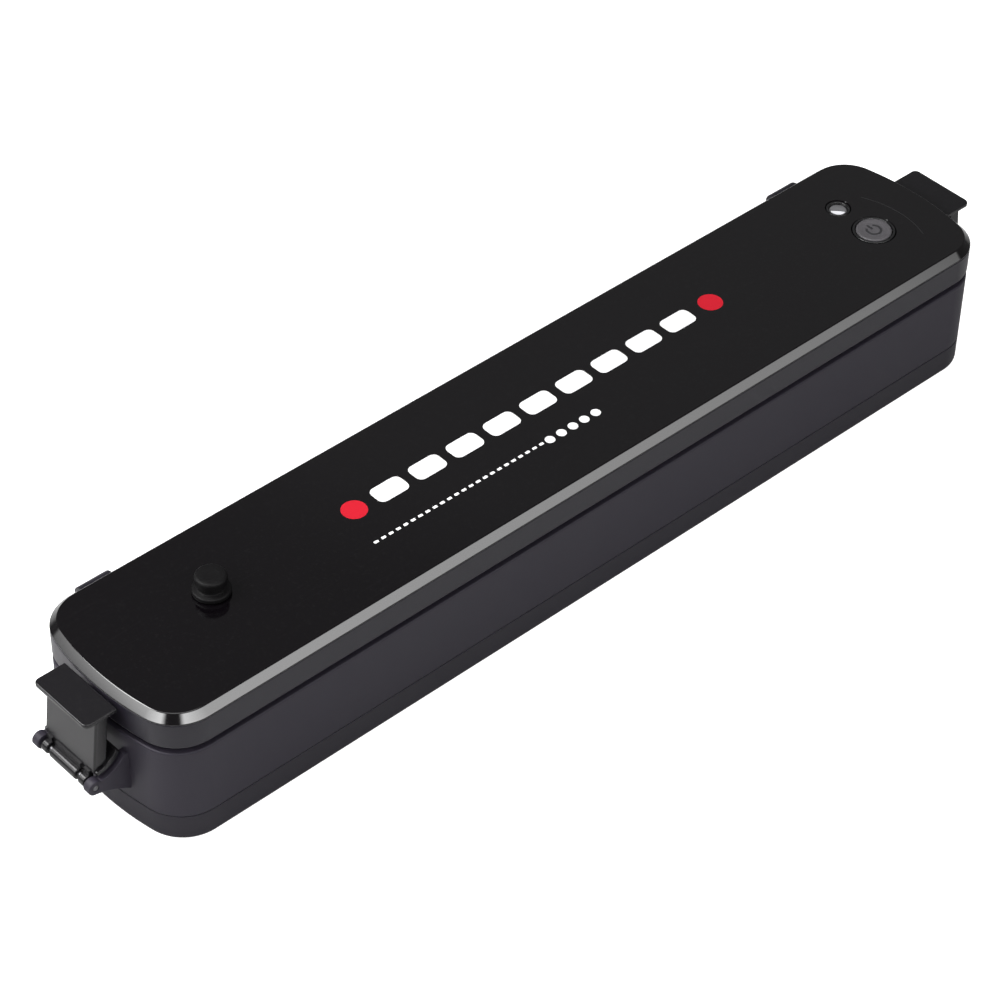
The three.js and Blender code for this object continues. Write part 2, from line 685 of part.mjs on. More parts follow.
// Two terminals rise through the heating bar's block, one at each end.
function sealBarBase() {
  const block = sealStrip(SEAL_WIDTH, SEAL_FLOOR + FIT, SEAL_BASE_TOP, SEAL_LENGTH + 4);
  const wells = sides.map(([, s]) =>
    rodZ(TERMINAL_RADIUS, (s * SEAL_LENGTH) / 2, SEAL_Y, SEAL_FLOOR - 1, SEAL_BASE_TOP - 1, 12),
  );
  return cut(block, ...wells);
}

function suctionNozzle() {
  const flange = CHAMBER_FLOOR + 0.1;
  const outside = [
    [0, CHAMBER_FLOOR - NOZZLE_LENGTH],
    [HOSE_RADIUS - 0.7, CHAMBER_FLOOR - NOZZLE_LENGTH],
    [HOSE_RADIUS, CHAMBER_FLOOR - NOZZLE_LENGTH + 2],
    [HOSE_RADIUS, flange],
    [HOSE_RADIUS + 1.6, flange],
    [HOSE_RADIUS + 1.6, flange + 0.9],
    [0, flange + 0.9],
  ];
  const bore = rodZ(1, NOZZLE_X, CHAMBER_Y, CHAMBER_FLOOR - 7, CHAMBER_FLOOR + 2, 12);
  return cut(turned(outside, NOZZLE_X, CHAMBER_Y, 16), bore);
}

piece(housing, "lower_gasket", gasketRing(0, GASKET_BASE + 0.1, GASKET_SPLIT), foam);
piece(housing, "seal_bar_base", sealBarBase(), phenolic);
piece(housing, "heating_strip", sealStrip(HEATER_WIDTH, HEATER_Z, HEATER_Z + FOIL), nichrome);
piece(housing, "seal_tape", sealStrip(SEAL_WIDTH, TAPE_Z, SEAL_TOP), tapeCloth);
piece(housing, "suction_nozzle", suctionNozzle(), pumpPlastic);

// ---------------------------------------------------------------- pump and motor under the chamber

const PUMP_FACE = PUMP_X - PUMP_LENGTH / 2;
const MOTOR_END = PUMP_FACE - FIT - MOTOR_LENGTH;
const CAVITY_RADIUS = 6;
const SHAFT_END = PUMP_X + 3;
const PORT_DROP = 2.1;
const PORT_LENGTH = 3;
const ECCENTRIC_RADIUS = 2.8;

function motorCan() {
  const outside = rodX(MOTOR_RADIUS, SHAFT_Y, SHAFT_Z, MOTOR_END, PUMP_FACE - FIT, 28);
  const inside = rodX(MOTOR_RADIUS - 1, SHAFT_Y, SHAFT_Z, MOTOR_END - 1, PUMP_FACE - FIT - 1.2, 24);
  const hole = rodX(SHAFT_RADIUS + 0.4, SHAFT_Y, SHAFT_Z, MOTOR_END, PUMP_FACE + 1, 16);
  return cut(outside, inside, hole);
}

function motorEndCap() {
  const disc = rodX(MOTOR_RADIUS - 1.3, SHAFT_Y, SHAFT_Z, MOTOR_END, MOTOR_END + 2, 24);
  const hub = rodX(3, SHAFT_Y, SHAFT_Z, MOTOR_END - 2, MOTOR_END + 1);
  const bore = rodX(SHAFT_RADIUS + RUNNING_FIT, SHAFT_Y, SHAFT_Z, MOTOR_END - 1, MOTOR_END + 3, 16);
  return cut(join(disc, hub), bore);
}

function armature() {
  const core = rodX(MOTOR_RADIUS - 3, SHAFT_Y, SHAFT_Z, MOTOR_END + 7, PUMP_FACE - 5, 24);
  const bore = rodX(SHAFT_RADIUS + 0.1, SHAFT_Y, SHAFT_Z, MOTOR_END, PUMP_FACE, 16);
  const slots = [0, 1, 2].map((i) => {
    const turn = (i * 2 * Math.PI) / 3;
    const y = SHAFT_Y + (MOTOR_RADIUS - 3) * Math.cos(turn);
    const z = SHAFT_Z + (MOTOR_RADIUS - 3) * Math.sin(turn);
    return rodX(1.5, y, z, MOTOR_END, PUMP_FACE, 12);
  });
  return cut(core, bore, ...slots);
}

function eccentric() {
  const z = SHAFT_Z + ECCENTRIC_OFFSET;
  const disc = rodX(ECCENTRIC_RADIUS, SHAFT_Y, z, PUMP_X - 5, PUMP_X + 2);
  return cut(disc, rodX(SHAFT_RADIUS + 0.1, SHAFT_Y, SHAFT_Z, PUMP_X - 6, PUMP_X + 3, 16));
}

function pumpHousing() {
  const body = box(
    [PUMP_FACE, PUMP_X + PUMP_LENGTH / 2],
    around(SHAFT_Y, PUMP_SIZE),
    [SHAFT_Z - PUMP_SIZE / 2, HEAD_TOP - 6],
  );
  const cavity = rodX(CAVITY_RADIUS, SHAFT_Y, SHAFT_Z, PUMP_X - 6, PUMP_X + 6, 24);
  const bearing = rodX(SHAFT_RADIUS + 0.4, SHAFT_Y, SHAFT_Z, PUMP_FACE - 1, PUMP_X, 16);
  const mouth = box([PUMP_X - 6, PUMP_X + 6], around(SHAFT_Y, 10), [SHAFT_Z, HEAD_TOP]);
  return cut(body, cavity, bearing, mouth);
}

function pumpDiaphragm() {
  const x = around(PUMP_X, PUMP_LENGTH - 2);
  const sheet = roundedBox(x, around(SHAFT_Y, PUMP_SIZE - 2), [HEAD_TOP - 5.7, HEAD_TOP - 4.5], 3);
  const boss = rodZ(3, PUMP_X, SHAFT_Y, HEAD_TOP - 5, HEAD_TOP - 3.8, 16);
  return join(sheet, boss);
}

function pumpHead() {
  const x = around(PUMP_X, PUMP_LENGTH);
  const block = box(x, around(SHAFT_Y, PUMP_SIZE), [HEAD_TOP - 4.2, HEAD_TOP]);
  const bowl = rodZ(7, PUMP_X, SHAFT_Y, HEAD_TOP - 5, HEAD_TOP - 2.4);
  const [, portX] = x;
  const portZ = HEAD_TOP - PORT_DROP;
  const port = rodX(HOSE_RADIUS - 0.9, SHAFT_Y, portZ, portX - 1, portX + PORT_LENGTH, 14);
  const bore = rodX(0.8, SHAFT_Y, portZ, PUMP_X, portX + PORT_LENGTH + 1, 10);
  return cut(join(block, port), bowl, bore);
}

function motorSaddle() {
  const x = [MOTOR_END + 4, PUMP_FACE - 5];
  const block = box(x, around(SHAFT_Y, 2 * MOTOR_RADIUS), [FLOOR_Z + FIT, SHAFT_Z - 3]);
  return cut(block, rodX(MOTOR_RADIUS + FIT, SHAFT_Y, SHAFT_Z, x[0] - 1, x[1] + 1, 28));
}

// The hose leaves the pump's port, dips to the floor and turns up to the chamber's nozzle.
function vacuumHose() {
  const start = PUMP_X + PUMP_LENGTH / 2 + PORT_LENGTH + FIT;
  const portZ = HEAD_TOP - PORT_DROP;
  const nozzleZ = CHAMBER_FLOOR - NOZZLE_LENGTH - FIT;
  const lowZ = FLOOR_Z + HOSE_RADIUS + 2.5;
  const path = [
    [start, SHAFT_Y, portZ],
    [start + 4, SHAFT_Y, portZ - 0.6],
    [start + 10, SHAFT_Y + 1, (portZ + lowZ) / 2],
    [(start + NOZZLE_X) / 2 + 5, CHAMBER_Y, lowZ],
    [NOZZLE_X - 1, CHAMBER_Y, (nozzleZ + lowZ) / 2],
    [NOZZLE_X, CHAMBER_Y, nozzleZ],
  ];
  return tube(path, HOSE_RADIUS, 24);
}

piece(pump, "motor_can", motorCan(), steel);
piece(pump, "motor_end_cap", motorEndCap(), pumpPlastic);
piece(pump, "motor_shaft", rodX(SHAFT_RADIUS, SHAFT_Y, SHAFT_Z, MOTOR_END, SHAFT_END, 16), steel);
piece(pump, "motor_armature", armature(), copper);
piece(pump, "pump_eccentric", eccentric(), phenolic);
piece(pump, "pump_housing", pumpHousing(), pumpPlastic);
piece(pump, "pump_diaphragm", pumpDiaphragm(), rubber);
piece(pump, "pump_head", pumpHead(), pumpPlastic);
piece(pump, "motor_saddle", motorSaddle(), rubber);

// ---------------------------------------------------------------- power board, inlet and leads

function powerBoard() {
  const z = [BOARD_Z, BOARD_TOP];
  return box(around(BOARD_X, BOARD_LENGTH), around(0, BOARD_WIDTH), z);
}

function transformer() {
  const base = BOARD_TOP + FIT;
  const x = BOARD_X - 18;
  const core = box(around(x, 20), around(4, 22), [base, base + 13]);
  const coil = box(around(x, 14), around(4, 27), [base + 1.5, base + 11.5]);
  return join(core, coil);
}

function inletSocket() {
  const y = [HALF_WIDTH - SOCKET_DEPTH, HALF_WIDTH - 0.2];
  const z = around(SOCKET_Z, SOCKET_HEIGHT);
  const shell = box(around(SOCKET_X, SOCKET_WIDTH), y, z);
  const flangeY = [HALF_WIDTH - WALL - FIT - 1.5, HALF_WIDTH - WALL - FIT];
  const flange = box(around(SOCKET_X, SOCKET_WIDTH + 6), flangeY, around(SOCKET_Z, SOCKET_HEIGHT + 4));
  const mouth = box(
    around(SOCKET_X, SOCKET_WIDTH - 4),
    [y[0] + 2, y[1] + 1],
    around(SOCKET_Z, SOCKET_HEIGHT - 3),
  );
  const pins = sides.map(([, s]) =>
    rodY(1.1, SOCKET_X + s * 4.3, SOCKET_Z, y[0] + 1, y[1] - 2, 12),
  );
  return join(cut(join(shell, flange), mouth), ...pins);
}

// The lead runs from the board's edge along the front wall and up to the heating bar's terminal.
function heaterLead(s) {
  const boardX = BOARD_X + (s * (BOARD_LENGTH - 14)) / 2;
  const terminal = (s * SEAL_LENGTH) / 2;
  const start = BOARD_TOP + FIT + LEAD_RADIUS;
  const run = start + 2;
  const wireY = SEAL_Y - 1.5;
  return tube(
    [
      [boardX, -18, start],
      [boardX + s * 3, wireY, run],
      [(boardX + terminal) / 2, wireY - 2, run],
      [terminal - s * 4, wireY, run + 1],
      [terminal, SEAL_Y, SEAL_FLOOR - 6],
      [terminal, SEAL_Y, SEAL_FLOOR + 1],
    ],
    LEAD_RADIUS,
    26,
    6,
  );
}

function capacitor() {
  const z = BOARD_TOP + FIT + CAPACITOR_RADIUS;
  const body = rodX(CAPACITOR_RADIUS - 0.4, -4, z, BOARD_X + 8, BOARD_X + 26);
  const rim = rodX(CAPACITOR_RADIUS, -4, z, BOARD_X + 23.5, BOARD_X + 26);
  return join(body, rim);
}

piece(housing, "power_board", powerBoard(), circuit);
piece(housing, "transformer", transformer(), copper);
piece(housing, "capacitor", capacitor(), pumpPlastic);
piece(housing, "inlet_socket", inletSocket(), pumpPlastic);
piece(housing, "vacuum_hose", vacuumHose(), hoseSilicone);
for (const [side, s] of sides) {
  piece(housing, `heater_lead_${side}`, heaterLead(s), wireInsulation);
}

// ---------------------------------------------------------------- lid frame, panel and inner cover

// Each control's hole: its centre and the radius of what passes through.
const panelHoles = [
  [BUTTON_X, BUTTON_Y, BUTTON_RADIUS + BEZEL_WIDTH + 2 * FIT],
  [BUTTON_X, WINDOW_Y, WINDOW_RADIUS + FIT],
  [VALVE_X, VALVE_Y, SEAT_RADIUS + FIT],
];

const drill = (body, z0, z1) =>
  panelHoles.reduce((rest, [x, y, r]) => rest.subtract(rodZ(r, x, y, z0, z1, 24)), body);

function hingeKnuckle(x) {
  const shape = new THREE.Shape();
  shape.moveTo(HALF_WIDTH - WALL / 2, LID_Z + 0.4);
  shape.lineTo(HINGE_Y, HINGE_Z - HINGE_KNUCKLE_RADIUS + 0.9);
  shape.lineTo(HINGE_Y, HINGE_Z + HINGE_KNUCKLE_RADIUS);
  shape.lineTo(HALF_WIDTH - WALL / 2, HINGE_Z + HINGE_KNUCKLE_RADIUS);
  const [x0, x1] = around(x, HINGE_KNUCKLE_WIDTH);
  const barrel = rodX(HINGE_KNUCKLE_RADIUS, HINGE_Y, HINGE_Z, x0, x1, 24);
  const bore = rodX(HINGE_PIN_RADIUS + RUNNING_FIT, HINGE_Y, HINGE_Z, x0 - 1, x1 + 1, 16);
  return cut(join(prismAlongX(shape, x0, x1), barrel), bore);
}

function lidFrame() {
  const outside = loft([
    [LID_Z, 0],
    [SHOULDER_Z, 0],
  ]);
  const inside = loft([
    [LID_Z - 1, WALL],
    [SHOULDER_Z - WALL, WALL],
  ]);
  let frame = drill(cut(outside, inside), SHOULDER_Z - WALL - 1, SHOULDER_Z + 1);
  for (const [, sx, sy] of corners) {
    const x = sx * SCREW_X;
    const y = sy * SCREW_Y;
    const boss = rodZ(BOSS_RADIUS, x, y, COVER_TOP + FIT, SHOULDER_Z - 1);
    const pilot = rodZ(SCREW_RADIUS + 0.2, x, y, COVER_TOP - 1, SHOULDER_Z - 0.8, 14);
    frame = cut(join(frame, boss), pilot);
  }
  for (const [, s] of sides) {
    const recess = box(
      [END_X - CATCH_DEPTH, END_X + 1],
      around(0, CATCH_WIDTH),
      [LID_Z + 2.4, LID_Z + 6.4],
    );
    frame = cut(frame, s > 0 ? recess : turnRound(recess));
    frame = join(frame, hingeKnuckle(s * HINGE_X));
  }
  return frame;
}

function lidPanel() {
  const plate = loft([
    [SHOULDER_Z + 0.2, 0],
    [TOP_Z, PANEL_CHAMFER],
  ]);
  return drill(plate, SHOULDER_Z - 1, TOP_Z + 1);
}

function lidInnerCover() {
  const inset = WALL + FIT;
  let cover = loft([
    [COVER_Z, inset],
    [COVER_TOP, inset],
  ]);
  cover = cut(
    cover,
    gasketRing(FIT / 2, COVER_Z - 1, COVER_Z + COVER_GROOVE),
    box(
      around(0, SEAL_LENGTH + 5),
      around(SEAL_Y, SEAL_WIDTH + 2 * FIT),
      [COVER_Z - 1, COVER_Z + COVER_GROOVE],
    ),
    rodZ(SEAT_RADIUS + FIT, VALVE_X, VALVE_Y, COVER_Z - 1, COVER_TOP + 1),
  );
  for (const [, sx, sy] of corners) {
    const hole = rodZ(SCREW_RADIUS + FIT, sx * SCREW_X, sy * SCREW_Y, COVER_Z - 1, COVER_TOP + 1, 14);
    cover = cover.subtract(hole);
  }
  return cover;
}

piece(lid, "lid_frame", lidFrame(), lidPlastic);
piece(lid, "lid_top_panel", lidPanel(), glossPanel);
piece(lid, "lid_inner_cover", lidInnerCover(), lidPlastic);
piece(lid, "upper_gasket", gasketRing(0, GASKET_SPLIT + FIT, COVER_Z + 0.8), foam);
piece(
  lid,
  "pressure_strip",
  sealStrip(SEAL_WIDTH, SEAL_TOP + FIT, COVER_Z + 0.8, SEAL_LENGTH + 4),
  silicone,
);
for (const [corner, sx, sy] of corners) {
  const headZ = COVER_Z - 0.1 - HEAD_HEIGHT;
  const fastener = screw(sx * SCREW_X, sy * SCREW_Y, headZ, SHOULDER_Z - COVER_Z - 2.6);
  piece(lid, `lid_screw_${corner}`, fastener, steel);
}

// ---------------------------------------------------------------- start button, indicator and control board

const CONTROL_TOP = CONTROL_Z + 1.2;
const SWITCH_TOP = CONTROL_TOP + FIT + 1.8;
const STEM_END = SWITCH_TOP + BUTTON_TRAVEL + 0.15;

function buttonCap() {
  const stem = 2.2;
  const top = TOP_Z + BUTTON_PROUD;
  const profile = [
    [0, STEM_END],
    [stem, STEM_END],
    [stem, TOP_Z - 2.4],
    [BUTTON_RADIUS, TOP_Z - 2.4],
    [BUTTON_RADIUS, top - 0.4],
    [BUTTON_RADIUS - 0.5, top],
    [BUTTON_RADIUS * 0.6, top - 0.25],
    [0, top - 0.35],
  ];
  return turned(profile, BUTTON_X, BUTTON_Y, 28);
}

// The ring that holds the button, with a guide for its stem.
function buttonBezel() {
  const rim = BUTTON_RADIUS + FIT;
  const outer = rim + BEZEL_WIDTH;
  const guide = 2.2 + FIT;
  const profile = [
    [guide, SHOULDER_Z - WALL],
    [outer, SHOULDER_Z - WALL],
    [outer, TOP_Z + 0.15],
    [rim, TOP_Z + 0.15],
    [rim, TOP_Z - 2.4 - BUTTON_TRAVEL - 0.15],
    [guide, TOP_Z - 2.4 - BUTTON_TRAVEL - 0.15],
    [guide, SHOULDER_Z - WALL],
  ];
  return turned(profile, BUTTON_X, BUTTON_Y, 28);
}

function indicatorWindow() {
  const profile = [
    [0, SHOULDER_Z - WALL],
    [WINDOW_RADIUS, SHOULDER_Z - WALL],
    [WINDOW_RADIUS, TOP_Z - 0.2],
    [WINDOW_RADIUS - 0.5, TOP_Z - 0.2],
    [WINDOW_RADIUS - 1.2, TOP_Z - 1],
    [0, TOP_Z - 1.3],
  ];
  return turned(profile, BUTTON_X, WINDOW_Y, 24);
}

// The board lies between the button's side and the bosses for the lid's screws.
function controlBoard() {
  const x = [BUTTON_X - 11, SCREW_X - BOSS_RADIUS - 2 * FIT];
  const y = [BUTTON_Y - 10, WINDOW_Y + 4.6];
  return roundedBox(x, y, [CONTROL_Z, CONTROL_TOP], 1.5);
}

function tactSwitch() {
  const base = CONTROL_TOP + FIT;
  const can = box(around(BUTTON_X, 6), around(BUTTON_Y, 6), [base, base + 1.1]);
  return join(can, rodZ(1.6, BUTTON_X, BUTTON_Y, base + 1, SWITCH_TOP, 16));
}

function indicatorLight() {
  const base = CONTROL_TOP + FIT;
  const x = around(BUTTON_X, 3.5);
  const y = around(WINDOW_Y, 2.8);
  return join(box(x, y, [base, base + 0.9]), rodZ(1.1, BUTTON_X, WINDOW_Y, base + 0.8, base + 1.3, 14));
}

piece(lid, "button_cap", buttonCap(), buttonPlastic);
piece(lid, "button_bezel", buttonBezel(), latchPlastic);
piece(lid, "indicator_window", indicatorWindow(), clearPlastic);
piece(lid, "control_board", controlBoard(), circuit);
piece(lid, "tact_switch", tactSwitch(), steel);
piece(lid, "indicator_light", indicatorLight(), clearPlastic);

// ---------------------------------------------------------------- air release valve

// A rubber knob on a stem; the plug at the stem's foot closes the seat from below when the lid is down.
function valveKnob() {
  const base = TOP_Z + FIT;
  const top = TOP_Z + VALVE_HEIGHT;
  const profile = [
    [0, COVER_Z + 0.2],
    [VALVE_STEM_RADIUS, COVER_Z + 0.2],
    [VALVE_STEM_RADIUS, base],
    [VALVE_FLANGE_RADIUS, base],
    [VALVE_FLANGE_RADIUS, base + 1.1],
    [VALVE_FLANGE_RADIUS - 0.5, base + 1.6],
    [VALVE_WAIST_RADIUS, base + 2],
    [VALVE_WAIST_RADIUS, top - 3.2],
    [VALVE_CAP_RADIUS, top - 2.6],
    [VALVE_CAP_RADIUS, top - 0.6],
    [VALVE_CAP_RADIUS - 0.6, top],
    [0, top],
  ];
  return turned(profile, VALVE_X, VALVE_Y, 28);
}

function valveSeat() {
  const bore = VALVE_STEM_RADIUS + FIT;
  const profile = [
    [bore, COVER_Z],
    [SEAT_RADIUS, COVER_Z],
    [SEAT_RADIUS, TOP_Z],
    [bore, TOP_Z],
    [bore, COVER_Z],
  ];
  return turned(profile, VALVE_X, VALVE_Y, 24);
}

piece(lid, "valve_knob", valveKnob(), rubber);
piece(lid, "valve_seat", valveSeat(), hoseSilicone);

// ---------------------------------------------------------------- hinge pins

for (const [side, s] of sides) {
  const half = HINGE_KNUCKLE_WIDTH / 2 + FIT + HINGE_EAR_WIDTH;
  const [x0, x1] = around(s * HINGE_X, 2 * half);
  const pin = rodX(HINGE_PIN_RADIUS, HINGE_Y, HINGE_Z, x0, x1, 16);
  piece(housing, `hinge_pin_${side}`, pin, steel);
}

// ---------------------------------------------------------------- latch levers

const HALF_LATCH = LATCH_WIDTH / 2;

// The lever's plate leans: its foot is farther out than its top.
function plateX(z) {
  const share = (LATCH_TAB_Z - z) / (LATCH_TAB_Z - LATCH_PLATE_FOOT);
  return END_X + LATCH_PLATE_REACH + LATCH_PLATE_LEAN * share;
}

// A slab that leans with the plate, between two depths behind the plate's outer face.
function leaning([near, far], [y0, y1], [z0, z1]) {
  const shape = new THREE.Shape();
  shape.moveTo(plateX(z0) - near, z0);
  shape.lineTo(plateX(z1) - near, z1);
  shape.lineTo(plateX(z1) - far, z1);
  shape.lineTo(plateX(z0) - far, z0);
  return prismAlongY(shape, y0, y1);
}

function latchTab() {
  const half = HALF_LATCH + LATCH_TAB_OVERHANG;
  const outer = END_X + LATCH_TAB_REACH;
  const shape = new THREE.Shape();
  shape.moveTo(END_X + 0.5, -half);
  shape.lineTo(outer - LATCH_TAB_CORNER, -half);
  shape.absarc(outer - LATCH_TAB_CORNER, -half + LATCH_TAB_CORNER, LATCH_TAB_CORNER, -Math.PI / 2, 0);
  shape.lineTo(outer, half - LATCH_TAB_CORNER);
  shape.absarc(outer - LATCH_TAB_CORNER, half - LATCH_TAB_CORNER, LATCH_TAB_CORNER, 0, Math.PI / 2);
  shape.lineTo(END_X + 0.5, half);
  return prism(shape, LATCH_TAB_Z - LATCH_TAB_THICKNESS, LATCH_TAB_Z);
}

function latchFloor() {
  const below = latchSweep(0, 0);
  const above = latchSweep(LATCH_FLOOR, LATCH_FLOOR);
  const shape = new THREE.Shape();
  shape.moveTo(...below.inner);
  shape.quadraticCurveTo(...below.bend, ...below.outer);
  shape.lineTo(below.outer[0], above.outer[1]);
  shape.quadraticCurveTo(...above.bend, ...above.inner);
  return prismAlongY(shape, -LATCH_FLOOR_WIDTH / 2, LATCH_FLOOR_WIDTH / 2);
}

// Where the lever's knuckles lie along the axle.
const knuckles = [
  [-10.4, -7.8],
  [-6.2, 6.2],
  [7.8, 10.4],
];

function latchLever() {
  const top = LATCH_TAB_Z - 0.5;
  const side = [0.5, LATCH_SIDE_DEPTH];
  const sideZ = [LATCH_PLATE_FOOT + 2, top];
  let lever = join(
    latchTab(),
    latchFloor(),
    leaning([0, LATCH_PLATE], around(0, LATCH_WIDTH), [LATCH_PLATE_FOOT, top]),
    leaning(side, [HALF_LATCH - LATCH_SIDE, HALF_LATCH], sideZ),
    leaning(side, [-HALF_LATCH, LATCH_SIDE - HALF_LATCH], sideZ),
  );
  for (const [y0, y1] of knuckles) {
    const barrel = rodY(LATCH_KNUCKLE_RADIUS, LATCH_AXLE_X, LATCH_AXLE_HEIGHT, y0, y1);
    const web = box(
      [LATCH_AXLE_X - LATCH_KNUCKLE_RADIUS, LATCH_AXLE_X - 0.4],
      [y0, y1],
      [LATCH_AXLE_HEIGHT, LATCH_PLATE_FOOT + 0.6],
    );
    lever = lever.add(join(barrel, web));
  }
  const bore = LATCH_AXLE_RADIUS + RUNNING_FIT;
  return cut(lever, rodY(bore, LATCH_AXLE_X, LATCH_AXLE_HEIGHT, -20, 20, 16));
}

// A bent steel strip behind the lever's plate; its nib reaches for the lid's catch recess.
function latchHook() {
  const back = (z) => plateX(z) - LATCH_PLATE - FIT;
  const nibZ = LID_Z + 3.6;
  const shape = new THREE.Shape();
  shape.moveTo(back(HOOK_FOOT), HOOK_FOOT);
  shape.lineTo(back(nibZ + HOOK_METAL), nibZ + HOOK_METAL);
  shape.lineTo(END_X + 0.7, nibZ + HOOK_METAL);
  shape.lineTo(END_X + 0.7, nibZ - 0.8);
  shape.lineTo(END_X + 0.7 + HOOK_METAL, nibZ - 0.8);
  shape.lineTo(END_X + 0.7 + HOOK_METAL, nibZ);
  shape.lineTo(back(nibZ) - HOOK_METAL, nibZ);
  shape.lineTo(back(HOOK_FOOT) - HOOK_METAL, HOOK_FOOT);
  return prismAlongY(shape, -HOOK_WIDTH / 2, HOOK_WIDTH / 2);
}

for (const [side, s] of sides) {
  const latch = new THREE.Group();
  latch.rotation.z = s > 0 ? 0 : Math.PI;
  part.add(latch);
  const axle = rodY(
    LATCH_AXLE_RADIUS,
    LATCH_AXLE_X,
    LATCH_AXLE_HEIGHT,
    -LATCH_ARM_OUTER,
    LATCH_ARM_OUTER,
    16,
  );
  piece(latch, `latch_lever_${side}`, latchLever(), latchPlastic);
  piece(latch, `latch_hook_${side}`, latchHook(), steel);
  piece(latch, `latch_axle_${side}`, axle, steel);
}

export default part;
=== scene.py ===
"""Fine pieces, finishes, light and camera for a countertop vacuum sealer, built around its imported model."""

import json
import math

import bmesh
import bpy
from bpy.props import FloatProperty, FloatVectorProperty, IntProperty, PointerProperty
from mathutils import Matrix, Vector


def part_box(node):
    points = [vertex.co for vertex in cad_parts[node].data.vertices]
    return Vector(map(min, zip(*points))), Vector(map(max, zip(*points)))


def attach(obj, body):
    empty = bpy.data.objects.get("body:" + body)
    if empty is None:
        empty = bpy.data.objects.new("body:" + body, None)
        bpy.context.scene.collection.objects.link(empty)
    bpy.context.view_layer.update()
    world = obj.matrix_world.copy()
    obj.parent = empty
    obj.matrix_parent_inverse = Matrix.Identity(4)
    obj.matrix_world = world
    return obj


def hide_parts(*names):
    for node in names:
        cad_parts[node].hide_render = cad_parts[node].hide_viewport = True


bl_info = {
    "name": "Vacuum Sealer",
    "version": (1, 0, 0),
    "blender": (4, 5, 0),
    "location": "3D View > Sidebar > Sealer",
    "description": "Builds the pieces of a vacuum sealer with a hinged lid and two end latches",
    "category": "Add Mesh",
}

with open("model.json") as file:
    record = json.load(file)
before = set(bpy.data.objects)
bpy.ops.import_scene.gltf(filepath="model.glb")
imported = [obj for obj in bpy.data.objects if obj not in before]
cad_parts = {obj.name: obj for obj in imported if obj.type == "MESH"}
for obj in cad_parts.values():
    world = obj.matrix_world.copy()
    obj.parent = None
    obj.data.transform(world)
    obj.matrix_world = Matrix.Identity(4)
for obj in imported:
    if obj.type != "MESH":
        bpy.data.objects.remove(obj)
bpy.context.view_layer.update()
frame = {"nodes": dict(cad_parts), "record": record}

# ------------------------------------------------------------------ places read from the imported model
# Shapes are made on a bench in millimetres, with y = 0 on the housing's long centre line, and go to their
# place in metres when they are handed over.

THOUSAND = 1000.0
MIDDLE = sum(corner.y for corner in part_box("lid_top_panel")) / 2


def bench_place(corner):
    return Vector((corner.x, corner.y - MIDDLE, corner.z)) * THOUSAND


def low(node):
    return bench_place(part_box(node)[0])


def high(node):
    return bench_place(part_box(node)[1])


def centre(node):
    return (low(node) + high(node)) / 2


def span(node, axis):
    return low(node)[axis], high(node)[axis]


def half_size(node, axis=0):
    return high(node)[axis] - centre(node)[axis]


CLEAR = 0.3  # the gap between neighbouring pieces
PANEL_GAP = 0.2  # the gap under the lid's panel
COVER_RISE = 0.9  # how far up inside the band the lid's inner cover sits
END_X = high("lid_top_panel").x
SIDE_Y = high("lid_top_panel").y
BASE_Z = low("base_cover").z
SEAM_LOW = low("body_shell").z - CLEAR
SEAM_HIGH = low("body_shell").z
DECK_Z = high("deck_plate").z
DECK_UNDER = high("chamber_tray").z + CLEAR
LID_Z = low("lid_inner_cover").z - COVER_RISE
SHOULDER_Z = low("lid_top_panel").z - PANEL_GAP
TOP_Z = high("lid_top_panel").z
BUTTON = centre("button_cap")
WINDOW = centre("indicator_window")
KNOB = centre("valve_knob")
HINGE = centre("hinge_pin_right")
AXLE = centre("latch_axle_right")
FOOT = centre("foot_rear_right")
BASE_SCREW = centre("base_screw_rear_right")
LID_SCREW = centre("lid_screw_rear_right")
SEAL = centre("seal_tape")
INLET = centre("inlet_socket")
NOZZLE = centre("suction_nozzle")
GASKET = centre("lower_gasket")


# ------------------------------------------------------------------ sizes and colours a user may change


def length(name, description, default, lowest=0.0):
    return FloatProperty(
        name=name,
        description=description,
        default=default,
        min=lowest,
        subtype="DISTANCE",
        unit="LENGTH",
        precision=5,
    )


def turn_angle(name, description, degrees):
    return FloatProperty(
        name=name, description=description, default=math.radians(degrees), subtype="ANGLE", unit="ROTATION"
    )


def how_many(name, description, default):
    return IntProperty(name=name, description=description, default=default, min=1)


def colour(name, description, default):
    return FloatVectorProperty(
        name=name, description=description, default=default, size=3, min=0, max=1, subtype="COLOR"
    )


class SealerSizes(bpy.types.PropertyGroup):
    end_bulge: length("End bulge", "How far the ends bulge past the corners' line", 0.0055)
    corner_radius: length("Corner radius", "Radius of the housing's corners, seen from above", 0.0151)
    wall: length("Wall", "Thickness of the housing's and lid's walls", 0.0022)
    base_round: length("Base rounding", "Radius of the base's bottom edge", 0.0026)
    edge_round: length("Edge rounding", "Radius of the moulded edges", 0.0005)
    chamfer: length("Panel chamfer", "Width of the slanted edge round the lid's panel", 0.0024)
    tab_corner: length("Tab corner", "Radius of the latch tab's outer corners", 0.002)
    tab_reach: length("Tab reach", "How far a latch's tab stands out from the housing's end", 0.0122)
    plate_reach: length("Plate reach", "How far a latch's plate stands out at its top", 0.0077)
    plate_lean: length("Plate lean", "How much farther out the plate's foot is", 0.0026)
    gasket_round: length("Gasket rounding", "Radius of the foam gaskets' edges", 0.0006)


